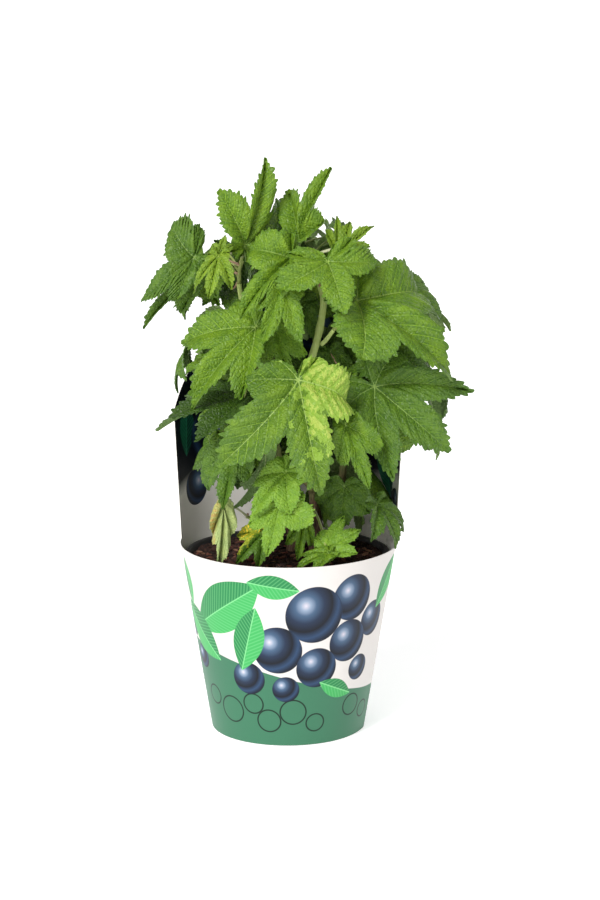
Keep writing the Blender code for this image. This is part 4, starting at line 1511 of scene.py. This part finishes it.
class LeafMaker:
    """Adds fine blades to pieces, from flat patterns, clear of some walls."""

    def __init__(self, patterns, materials, walls):
        self.patterns, self.materials, self.walls = patterns, materials, walls

    def slots(self, piece, tint, upper, under):
        """Slots of the faces of both sides, and that of the margin."""
        kinds = FACE_KINDS if tint in PATCHES else FACE_KINDS[:PATCH_EDGE]
        tops = np.array([piece.slot(self.materials[tint, kind]) for kind in kinds])
        side = TINTS[tint][2]
        body, vein = (piece.slot(self.materials[side, kind]) for kind in ("body", "vein"))
        return tops[patched_kinds(upper, tint)], np.where(under.kinds == VEIN, vein, body), tops[0]

    def add(self, piece, blade, look, chance):
        """Add the upper and under sides of a blade and the rim between."""
        tint, variant, keel = look
        pattern = self.patterns[blade.size < LIGHT_SIZE][variant]
        upper, under = pattern.upper, pattern.under
        folds = (keel, chance.uniform(*WAVE_RISE), chance.choice(WAVE_TURNS),
                 chance.uniform(0, 2 * math.pi), chance.uniform(*DROOP))
        folds = fitted_folds(blade, under, folds, self.walls)
        slim = min(1.0, QUILT_WIDTH * np.linalg.norm(blade.across) / blade.size)
        quilt = chance.uniform(*QUILT_RISE) * CALM.get(tint, 1.0) * slim
        top, top_normals = bent_sheet(blade, upper, folds, quilt)
        low, low_normals = bent_sheet(blade, under, folds, 0.0)
        top = top + top_normals * (SHEET / 2)
        low = low - low_normals * (SHEET / 2 + RIB_DEPTH * blade.size * under.ribs[:, None])
        edge, sharp = margin_faces(upper.rim, under.rim + len(top))
        top_slots, low_slots, edge_slot = self.slots(piece, tint, upper, under)
        slots = [top_slots, low_slots, np.full(len(edge), edge_slot)]
        faces = [upper.faces, under.faces[:, ::-1] + len(top), edge]
        piece.add(np.vstack([top, low]), np.vstack(faces), np.concatenate(slots), sharp)


def stalk_radii(count):
    """Radii of a stalk, thick at its foot and slimmer at the blade."""
    t = np.linspace(0, 1, count)
    neck = STALK_NECK * np.clip((t - NECK_START) / NECK_REACH, 0, 1)
    return STALK_SLIM + STALK_FLARE * np.exp(-t * 9) - neck


def build_masses(crown, maker):
    """One piece of leaves and one of twigs and stalks for each mass."""
    skins = {kind: new_material("stalk_" + kind, srgb(*colour), 0.5)[0]
             for kind, colour in STALKS.items()}
    for seed, (name, leaves) in enumerate(crown.leaves.items()):
        chance = random.Random(900 + seed)
        blades = Piece("blades_" + name)
        for _, _, blade, look in leaves:
            maker.add(blades, blade, look, chance)
        blades.build([name])
        stalks = Piece("stalks_" + name)
        stem = smooth_points(crown.stems[name], 5)
        radii = np.linspace(MASS_STEM_RADIUS, STEM_TIP, len(stem))
        add_tube(stalks, stem, radii, STEM_SIDES, stalks.slot(skins["green"]))
        for start, bow, blade, look in leaves:
            line = stalk_path(start, bow, blade, STALK_STEPS, STALK_SINK)
            slot = stalks.slot(skins[TINTS[look[0]][3]])
            add_tube(stalks, line, stalk_radii(len(line)), STALK_SIDES, slot)
            aim = np.array(line[1] - line[0]) + (0.0, 0.0, 2.0 * (line[1] - line[0]).length)
            place = line[0] + Vector((0.0, 0.0, STALK_BUD_RISE))
            add_bud(stalks, place, aim, STALK_BUD_LENGTH, stalks.slot(skins["pink"]))
        stalks.build()


def even_line(path, step):
    """Points at even steps along a smooth curve through a limb's points."""
    line = np.array([tuple(p) for p in smooth_points(path, 10)])
    lengths = np.concatenate([[0], np.cumsum(np.linalg.norm(np.diff(line, axis=0), axis=1))])
    places = np.linspace(0, lengths[-1], max(int(lengths[-1] / step), 8))
    return np.stack([np.interp(places, lengths, line[:, i]) for i in range(3)], 1), places


def bark_radii(line, places, radii, nodes_at, seed):
    """Grid of radii: ridges, swollen joints and peeling bark at the foot."""
    turn = 2 * math.pi * np.arange(BARK_SIDES) / BARK_SIDES
    swell = sum(np.exp(-((places - at) / JOINT_REACH) ** 2) for at in nodes_at)
    woody = np.clip((WOOD_TOP - line[:, 2]) / WOOD_FADE, 0, 1)
    grid = np.repeat((np.array(radii) * (1 + JOINT_SWELL * swell))[:, None], BARK_SIDES, 1)
    for i, at in enumerate(places):
        for k, angle in enumerate(turn):
            spot = Vector((1.3 * math.cos(angle), 1.3 * math.sin(angle), at * 0.045 + seed))
            flake = noise.noise(spot * FLAKE_SCALE)
            ridge = RIDGE * math.cos(RIDGES * angle + at * RIDGE_TWIST)
            grid[i, k] *= 1 + ridge + woody[i] * (FLAKE * flake + FLAKE * (flake > FLAKE_START))
    return grid


def add_bud(piece, place, aim, length, slot):
    """Add a pointed bud."""
    place, aim = np.array(place), np.array(aim) / np.linalg.norm(aim)
    path = place + np.linspace(-0.2, 1.0, len(BUD_SHAPE))[:, None] * aim * length
    add_tube(piece, path, np.array(BUD_SHAPE) * length, 8, slot)


def bark_material():
    """Brown peeling bark below, pale green and smooth above."""
    material, tree, shader = new_material("bark", tone("stem_light"), 0.6, 0.35)
    place = object_coordinates(tree)
    stretch = tree.nodes.new("ShaderNodeMapping")
    stretch.inputs["Scale"].default_value = (1.0, 1.0, FIBRE_SQUEEZE)
    tree.links.new(place, stretch.inputs["Vector"])
    fibres = noise_value(tree, stretch.outputs["Vector"], *FIBRE_NOISE)
    height = split(tree, place)[2] + noise_value(tree, place, *BLOTCH_NOISE) * BLOTCH_REACH
    streaks = ((fibres - STREAK_START) * STREAK_GAIN).clamped()
    wood = mix(streaks, tone("wood_dark"), tone("wood_light"))
    green = mix(streaks, tone("stem_dark"), tone("stem_light"))
    share = ((height - GREEN_START) / GREEN_FADE).clamped()
    tree.links.new(mix(share, wood, green), shader.inputs["Base Color"])
    add_bump(tree, shader, fibres, 0.5, 0.0006)
    return material


def build_limbs(limbs):
    """Canes and boughs with bark, swollen joints and buds."""
    bark = bark_material()
    bud = new_material("bud", tone("bud"), 0.5)[0]
    shapes = {name: (foot, tip, CANE_FLARE) for name, foot, tip, _ in CANES}
    shapes.update({name: (foot, tip, 0.0) for name, _, _, foot, tip, _ in BOUGHS})
    for seed, (name, path) in enumerate(limbs.items()):
        foot, tip, flare = shapes[name]
        chance = random.Random(70 + seed)
        line, places = even_line(path, LIMB_STEP)
        radii = taper(len(line), foot, tip, flare)
        nodes_at = np.arange(chance.uniform(*FIRST_JOINT), places[-1] - LAST_JOINT, JOINT_SPACING)
        piece = Piece("bark_" + name)
        grid = bark_radii(line, places, radii, nodes_at, seed * 3.0)
        add_tube(piece, line, grid, BARK_SIDES, piece.slot(bark))
        side, upper = rings_along(line)
        for number, at in enumerate(nodes_at):
            k = int(np.argmin(np.abs(places - at)))
            turn = math.radians(GOLDEN_ANGLE * number + 40 * seed)
            out = side[k] * math.cos(turn) + upper[k] * math.sin(turn)
            ahead = np.cross(side[k], upper[k])
            place = line[k] + out * radii[k] * BUD_DEPTH
            add_bud(piece, place, out * BUD_LEAN + ahead, BUD_LENGTH, piece.slot(bud))
        piece.build([name])


# Sleeve


def sleeve_radius(height, bearing):
    """Outer radius of the sleeve; the bearing is from its right crease."""
    radius = SLEEVE_FOOT_RADIUS + SLEEVE_SLOPE * np.minimum(height, SLEEVE_RIM)
    radius = radius + PANEL_FLARE * np.maximum(height - SLEEVE_RIM, 0.0)
    off_crease = np.abs(np.mod(bearing + math.pi / 2, math.pi) - math.pi / 2)
    return radius * (1.0 + CREASE_SWELL * np.exp(-off_crease / CREASE_REACH))


def sleeve_points(height, bearing, inward):
    """Points of the sleeve, some way in from its outside."""
    radius = sleeve_radius(height, bearing) - inward
    turn = bearing + math.radians(SLEEVE_TURN)
    return np.stack([radius * np.cos(turn), radius * np.sin(turn), height], -1)


def sleeve_grid():
    """Height and bearing of the sleeve's points, its quads and their corners.

    The corners are height and bearing again, for the print: the bearing runs
    on to a whole turn where the quads close the ring.
    """
    steps = 2 * SLEEVE_STEPS
    wall = np.linspace(SLEEVE_FOOT, SLEEVE_RIM, WALL_ROWS)
    ring = 2 * math.pi * np.arange(steps) / steps
    places = [np.stack(np.meshgrid(wall, ring, indexing="ij"), -1).reshape(-1, 2)]
    half = ring[:SLEEVE_STEPS + 1]
    tops = PANEL_EDGE + (PANEL_TOP - PANEL_EDGE) * np.maximum(np.sin(half), 0.0)
    for share in np.linspace(0, 1, PANEL_ROWS)[1:]:
        places.append(np.stack([SLEEVE_RIM + (tops - SLEEVE_RIM) * share, half], 1))
    quads = ring_quads(WALL_ROWS, steps).tolist()
    below, across = (WALL_ROWS - 1) * steps, SLEEVE_STEPS + 1
    for row in range(PANEL_ROWS - 1):
        above = WALL_ROWS * steps + row * across
        quads += [(below + k, below + k + 1, above + k + 1, above + k) for k in range(SLEEVE_STEPS)]
        below = above
    places, quads = np.vstack(places), np.array(quads)
    corners = places[quads]
    closing = corners[:, :2, 1].max(1) - corners[:, :2, 1].min(1) > math.pi
    corners[closing, 1, 1] = corners[closing, 2, 1] = 2 * math.pi
    return places, quads, corners


def build_sleeve():
    """The card sleeve: printed outside and inside, with a pale cut edge."""
    places, quads, corners = sleeve_grid()
    outer = sleeve_points(places[:, 0], places[:, 1], 0.0)
    inner = sleeve_points(places[:, 0], places[:, 1], CARD)
    count = len(outer)
    edges = open_edges(quads)
    strip = np.stack([edges[:, 1], edges[:, 0], edges[:, 0] + count, edges[:, 1] + count], 1)
    piece = Piece("card_sleeve")
    outside = piece.slot(print_material("print_outside", 0.0, outside_print))
    inside_slot = piece.slot(print_material("print_inside", 0.5, inside_print))
    card = grained_material("card_edge", tone("card_edge"), 0.8, 0.3, CARD_EDGE_GRAIN)
    piece.add(np.vstack([outer, inner]), quads, outside, np.concatenate([edges, edges + count]))
    piece.add_faces(quads[:, ::-1] + count, inside_slot)
    piece.add_faces(strip, piece.slot(card))
    item = piece.build(["sleeve"])
    flat = np.stack([corners[..., 1] / (2 * math.pi), corners[..., 0] / PRINT_HEIGHT * 0.5], -1)
    back = flat[:, ::-1] + (0.0, 0.5)
    bits = np.full((len(strip), 4, 2), 0.999)
    layer = item.data.uv_layers.new(name="OFBake")
    layer.data.foreach_set("uv", np.concatenate([flat, back, bits]).astype(np.float32).ravel())


def pick(mask, first, second):
    """Number that is the second where the mask is 1."""
    return first * (1.0 - mask) + second * mask


def offsets(place, angle, level):
    """Distances across and up from a motif's middle, in millimetres."""
    bearing, height, radius, _ = place
    return (bearing - math.radians(angle)) * radius, height - level


def length_of(x, y):
    """Length of a flat vector."""
    return math_node(x.tree, "SQRT", x * x + y * y)


def soft_edge(distance):
    """Mask that is 1 where a distance is below nought."""
    return (0.5 - distance * EDGE_SHARPNESS).clamped()


def disc_layers(place, discs):
    """Mask of all the discs, and how far round from its light side each is."""
    mask_all, shade_all = 0.0, 1.0
    for angle, level, size in discs:
        x, y = offsets(place, angle, level)
        mask = soft_edge(length_of(x, y) - size)
        light_x, light_y = (share * size for share in DISC_LIGHT)
        shade = length_of(x - light_x, y - light_y) / (DISC_SPREAD * size)
        shade_all = pick(mask, shade_all, shade)
        mask_all = mask.at_least(mask_all)
    return mask_all, shade_all


def ring_mask(place, rings):
    """Mask of thin rings."""
    mask_all = 0.0
    for angle, level, size in rings:
        off = abs(length_of(*offsets(place, angle, level)) - size)
        mask_all = soft_edge(off - RING_LINE).at_least(mask_all)
    return mask_all


def lens_layers(place, lenses):
    """Mask of leaf-like lenses, and the place across and along each."""
    mask_all, across_all, along_all = 0.0, 0.0, 0.0
    for angle, level, size, lean in lenses:
        x, y = offsets(place, angle, level)
        c, s = polar(lean, 1.0)
        along, across = x * c + y * s, y * c - x * s
        share = along / size
        width = (1.0 - share * share) * (LENS_WIDTH * size)
        mask = soft_edge(abs(across) - width)
        across_all = pick(mask, across_all, across)
        along_all = pick(mask, along_all, along)
        mask_all = mask.at_least(mask_all)
    return mask_all, across_all, along_all


def add_lenses(place, lenses, ground, name):
    """Colour of a ground with lenses: two halves, a midrib and slanting stripes."""
    mask, across, along = lens_layers(place, lenses)
    off = abs(across)
    stripe = abs(((along - off * STRIPE_SLANT) * STRIPE_RATE).sine()) ** 6.0
    half = ((across + 1.0) * 0.5).clamped()
    colour = mix(half, tone(name), tone(name + "_dark"))
    colour = mix(stripe * STRIPE_SHARE, colour, tone(name + "_light"))
    colour = mix(soft_edge(off - LENS_RIB), colour, tone(name + "_light"))
    return mix(mask, ground, colour)


def wave_line(bearing, level, swing, turns, phase):
    """Height of a waving line at a bearing."""
    return (bearing * turns + phase).sine() * swing + level


def outside_print(place):
    """Cream ground over a green foot, with discs, lens leaves and rings."""
    _, height, _, whole = place
    foot = soft_edge(height - wave_line(whole, *OUTSIDE_WAVE))
    colour = mix(foot, tone("cream"), tone("foot"))
    colour = mix(ring_mask(place, OUTSIDE_RINGS), colour, tone("ring"))
    mask, shade = disc_layers(place, OUTSIDE_DISCS)
    colour = mix(mask, colour, ramp(shade, DISC_STOPS))
    return add_lenses(place, OUTSIDE_LENSES, colour, "lens")


def inside_print(place):
    """Night-blue ground over cream, with large soft discs and teal lenses. Its cream is painted lighter
    than the outside's, to stand in for light in the shade inside the sleeve.
    """
    _, height, _, whole = place
    share = ((height - wave_line(whole, *INSIDE_WAVE)) * 0.08).clamped()
    colour = mix(share, tone("inner_cream_painted_lighter"), tone("night"))
    colour = add_lenses(place, INSIDE_LENSES, colour, "teal")
    mask, shade = disc_layers(place, INSIDE_DISCS)
    return mix(mask, colour, ramp(shade, DISC_STOPS))


def print_material(name, shift, draw):
    """Coated card with a print drawn from the unrolled sleeve."""
    material, tree, shader = new_material(name, tone("cream"), 0.42, 0.3)
    source = tree.nodes.new("ShaderNodeUVMap")
    source.uv_map = "OFBake"
    u, v, _ = split(tree, source.outputs["UV"])
    whole = u * (2 * math.pi)
    height = (v - shift) * (2 * PRINT_HEIGHT)
    radius = height.at_most(SLEEVE_RIM) * SLEEVE_SLOPE + SLEEVE_FOOT_RADIUS
    colour = draw((whole % math.pi, height, radius, whole))
    tree.links.new(colour, shader.inputs["Base Color"])
    add_bump(tree, shader, noise_value(tree, object_coordinates(tree), 900.0, 3.0), 0.06, 0.0003)
    return material


# Pot and soil


def turned(profile, steps):
    """Points and quads of a profile of (radius, height) turned about Z."""
    turn = 2 * math.pi * np.arange(steps) / steps
    radius, height = np.array(profile, float).T
    points = np.stack([np.outer(radius, np.cos(turn)), np.outer(radius, np.sin(turn)),
                       np.repeat(height[:, None], steps, 1)], -1).reshape(-1, 3)
    return points, ring_quads(len(profile), steps)


def pot_profile(inset):
    """Profile of the pot's wall from its foot, over the lip, to its floor."""
    lip_foot = POT_HEIGHT - POT_LIP_DEPTH
    outer = [(inset, 0.0), (POT_FOOT_RADIUS - 1.5, 0.0), (POT_FOOT_RADIUS - 0.4, 0.5),
             (POT_FOOT_RADIUS, 1.5)]
    for k in range(1, POT_LEDGES + 1):
        share = k / (POT_LEDGES + 1)
        height = 1.5 + (lip_foot - 1.5) * share
        radius = POT_FOOT_RADIUS + (POT_TOP_RADIUS - POT_FOOT_RADIUS) * share
        outer += [(radius - 0.5, height - 1.5), (radius, height)]
    lip = [(POT_TOP_RADIUS, lip_foot), (POT_LIP_RADIUS - 0.3, lip_foot),
           (POT_LIP_RADIUS, lip_foot + 0.4), (POT_LIP_RADIUS, POT_HEIGHT - 0.8),
           (POT_LIP_RADIUS - 0.25, POT_HEIGHT - 0.2), (POT_LIP_RADIUS - 0.9, POT_HEIGHT),
           (POT_TOP_RADIUS - POT_WALL + 0.6, POT_HEIGHT), (POT_TOP_RADIUS - POT_WALL, POT_HEIGHT - 0.7)]
    inner = [(POT_FOOT_RADIUS - POT_WALL, POT_FLOOR + 0.6),
             (POT_FOOT_RADIUS - POT_WALL - 0.6, POT_FLOOR), (inset, POT_FLOOR)]
    return outer + lip + inner


def circle(x, y, radius, count):
    """Points of a circle."""
    turns = [2 * math.pi * k / count for k in range(count)]
    return [(x + radius * math.cos(turn), y + radius * math.sin(turn)) for turn in turns]


def pot_floor(inset, steps):
    """Flat points and triangles of the pot's floor with its drain holes."""
    loops = [circle(0, 0, inset, steps)]
    middles = [polar(360 * (k + 0.5) / DRAIN_HOLES, DRAIN_CIRCLE) for k in range(DRAIN_HOLES)]
    loops += [circle(x, y, DRAIN_RADIUS, 24) for x, y in middles]
    points = [Vector(p) for loop in loops for p in loop]
    starts = np.cumsum([0] + [len(loop) for loop in loops])
    edges = [(starts[i] + k, starts[i] + (k + 1) % len(loop))
             for i, loop in enumerate(loops) for k in range(len(loop))]
    edges = [(int(a), int(b)) for a, b in edges]
    found, _, faces, _, _, _ = delaunay_2d_cdt(points, edges, [], 1, 1e-5)
    flat = np.array([(p.x, p.y) for p in found])
    faces = np.array(faces)
    centres = flat[faces].mean(1)
    away = np.hypot(*(centres[:, None] - np.array(middles)[None]).transpose(2, 0, 1)).min(1)
    return flat, faces[away > DRAIN_RADIUS * 0.99]


def build_pot():
    """The nursery pot: matt plastic, ledges in its wall, lip, drain holes."""
    plastic = grained_material("pot_plastic", tone("pot"), 0.55, 0.5, PLASTIC_GRAIN)
    piece = Piece("nursery_pot")
    slot = piece.slot(plastic)
    inset = POT_FOOT_RADIUS - 6.0
    piece.add(*turned(pot_profile(inset), POT_STEPS), slot)
    flat, faces = pot_floor(inset, POT_STEPS)
    count = len(flat)
    edges = open_edges(faces)
    edges = edges[np.hypot(*flat[edges[:, 0]].T) < inset - 1.0]
    levels = [np.column_stack([flat, np.full(count, level)]) for level in (0.0, POT_FLOOR)]
    piece.add(np.vstack(levels), faces[:, ::-1], slot)
    piece.add_faces(faces + count, slot)
    walls = np.stack([edges[:, 0], edges[:, 1], edges[:, 1] + count, edges[:, 0] + count], 1)
    piece.add_faces(walls, slot)
    item = piece.build(["pot"])
    item.data.set_sharp_from_angle(angle=math.radians(50))


def soil_height(x, y):
    """Height of the lumpy soil."""
    place = Vector((x * LUMP_SCALE, y * LUMP_SCALE, 3.0))
    large, small = (noise.noise(place * share) for share in (1.0, CRUMB_SCALE))
    return SOIL_TOP - SOIL_SINK + LUMP_RISE * large + CRUMB_RISE * small


def build_soil():
    """The lumpy body of the soil, and the bark chips that lie on it."""
    slope = (POT_TOP_RADIUS - POT_FOOT_RADIUS) / POT_HEIGHT
    foot = POT_FOOT_RADIUS - POT_WALL - 0.4
    top = foot + slope * (SOIL_TOP - SOIL_BOTTOM) - 0.4
    radii = np.linspace(top, 2.0, 36)
    profile = [(2.0, SOIL_BOTTOM), (foot, SOIL_BOTTOM)] + [(r, SOIL_TOP) for r in radii]
    points, quads = turned(profile, POT_STEPS)
    upper = points[:, 2] > SOIL_TOP - 1
    points[upper, 2] = [soil_height(x, y) for x, y in points[upper, :2]]
    material, tree, shader = new_material("soil", tone("soil"), 0.95, 0.2)
    crumbs = noise_value(tree, object_coordinates(tree), 420.0, 6.0)
    browns = [(0.35, COLOURS["soil"]), (0.65, COLOURS["soil_light"])]
    tree.links.new(ramp(crumbs, browns), shader.inputs["Base Color"])
    add_bump(tree, shader, crumbs, 1.0, 0.003)
    piece = Piece("soil_body")
    slot = piece.slot(material)
    piece.add(points, quads, slot)
    low = np.arange(POT_STEPS)
    piece.add_faces([low[::-1]], slot)
    piece.add_faces([low + len(points) - POT_STEPS], slot)
    piece.build(["soil"])
    build_chips()


def chip_shape():
    """Points and triangles of a unit icosahedron."""
    golden = (1 + math.sqrt(5)) / 2
    points = [(0, a, b * golden) for a in (-1, 1) for b in (-1, 1)]
    points += [(a, b * golden, 0) for a in (-1, 1) for b in (-1, 1)]
    points += [(b * golden, 0, a) for a in (-1, 1) for b in (-1, 1)]
    points = np.array(points) / math.hypot(1, golden)
    edge = 2 / math.hypot(1, golden) * 1.01
    near = np.linalg.norm(points[:, None] - points[None], axis=2) < edge
    faces = []
    for a in range(12):
        for b in range(a + 1, 12):
            for c in range(b + 1, 12):
                if near[a, b] and near[b, c] and near[a, c]:
                    out = np.cross(points[b] - points[a], points[c] - points[a]).dot(points[a]) > 0
                    faces.append((a, b, c) if out else (a, c, b))
    return points, np.array(faces)


def build_chips():
    """Bark chips of several browns, lying flat on the soil."""
    chance = random.Random(41)
    shape, faces = chip_shape()
    piece = Piece("bark_chips")
    slots = [piece.slot(grained_material("chip_" + name, srgb(*colour), 0.85, 0.3, CHIP_GRAIN))
             for name, colour in CHIP_COLOURS]
    for number in range(CHIPS):
        turn, radius = chance.uniform(0, 2 * math.pi), CHIP_REACH * math.sqrt(chance.random())
        x, y = radius * math.cos(turn), radius * math.sin(turn)
        size = np.array([chance.uniform(*span) for span in CHIP_SIZES])
        rough = np.array([[chance.uniform(0.7, 1.2)] for _ in range(12)])
        lean = Vector((chance.uniform(-0.3, 0.3), chance.uniform(-0.3, 0.3), 1.0))
        aim = lean.to_track_quat("Z", "Y").to_matrix()
        spin = chance.uniform(0, math.pi)
        c, s = math.cos(spin), math.sin(spin)
        chip = shape * rough * size @ np.array(((c, s, 0), (-s, c, 0), (0, 0, 1))) @ np.array(aim).T
        level = soil_height(x, y) + size[2] * 0.3 + (1.2 if number % 3 == 0 else 0.0)
        kind = slots[chance.choices(range(len(slots)), CHIP_WEIGHTS)[0]]
        piece.add(chip + (x, y, level), faces, kind)
    item = piece.build()
    item.data.shade_flat()


# Stage


def add_sun(name, source, width, strength):
    """An even, soft light from a direction; its width is in degrees."""
    light = bpy.data.lights.new(name, "SUN")
    light.energy = strength
    light.angle = math.radians(width)
    item = bpy.data.objects.new(name, light)
    bpy.context.scene.collection.objects.link(item)
    item.rotation_euler = (-Vector(source)).to_track_quat("-Z", "Y").to_euler()


def build_stage():
    """Camera, lights, pale world and floor."""
    scene = bpy.context.scene
    camera = bpy.data.cameras.new("camera")
    camera.lens = CAMERA_LENS
    camera.clip_end = 200.0
    eye = bpy.data.objects.new("camera", camera)
    scene.collection.objects.link(eye)
    eye.location = Vector(CAMERA_PLACE) * MM
    eye.rotation_euler = (math.radians(90.0 - CAMERA_DROP), 0.0, 0.0)
    scene.camera = eye
    scene.view_settings.view_transform = "Standard"
    world = bpy.data.worlds.new("studio")
    world.use_nodes = True
    background = world.node_tree.nodes["Background"]
    background.inputs["Color"].default_value = (1.0, 1.0, 1.0, 1.0)
    background.inputs["Strength"].default_value = WORLD_STRENGTH
    scene.world = world
    for sun in SUNS:
        add_sun(*sun)
    build_floor()


def stage_mesh(name, points, faces, glow):
    """A pale mesh that isn't part of the object."""
    material, _, shader = new_material(name, tone("floor"), 0.9)
    shader.inputs["Emission Color"].default_value = (1.0, 1.0, 1.0, 1.0)
    shader.inputs["Emission Strength"].default_value = glow
    mesh = bpy.data.meshes.new(name)
    mesh.from_pydata(points, [], faces)
    mesh.materials.append(material)
    item = bpy.data.objects.new(name, mesh)
    bpy.context.scene.collection.objects.link(item)


def build_floor():
    """A wide pale floor, and a low wall far off where it ends."""
    ring = circle(0.0, 0.0, FLOOR_REACH, FLOOR_SIDES)
    points = [(x, y, z) for z in (0.0, WALL_HEIGHT) for x, y in ring]
    follow = [(k, (k + 1) % FLOOR_SIDES) for k in range(FLOOR_SIDES)]
    wall = [(b, a, a + FLOOR_SIDES, b + FLOOR_SIDES) for a, b in follow]
    stage_mesh("floor", points[:FLOOR_SIDES], [tuple(range(FLOOR_SIDES))], FLOOR_GLOW)
    stage_mesh("wall", points, wall, WALL_GLOW)


def clear_defaults():
    """Remove the objects that a new file starts with."""
    for item in list(bpy.data.objects):
        bpy.data.objects.remove(item, do_unlink=True)


clear_defaults()
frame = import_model()
build_stage()
nodes = frame["nodes"]
limbs, limb_trees = plan_limbs(nodes)
fixed_trees = [tree_of(nodes[name]) for name in ("pot", "soil", "sleeve")]
crown = plan_crown(plan_stems(limbs, limb_trees), limb_trees + fixed_trees)
patterns = [[Pattern(seed, detail) for seed in range(VARIANTS)] for detail in (FINE, LIGHT)]
build_masses(crown, LeafMaker(patterns, leaf_materials(), fixed_trees))
build_limbs(limbs)
build_pot()
build_soil()
build_sleeve()
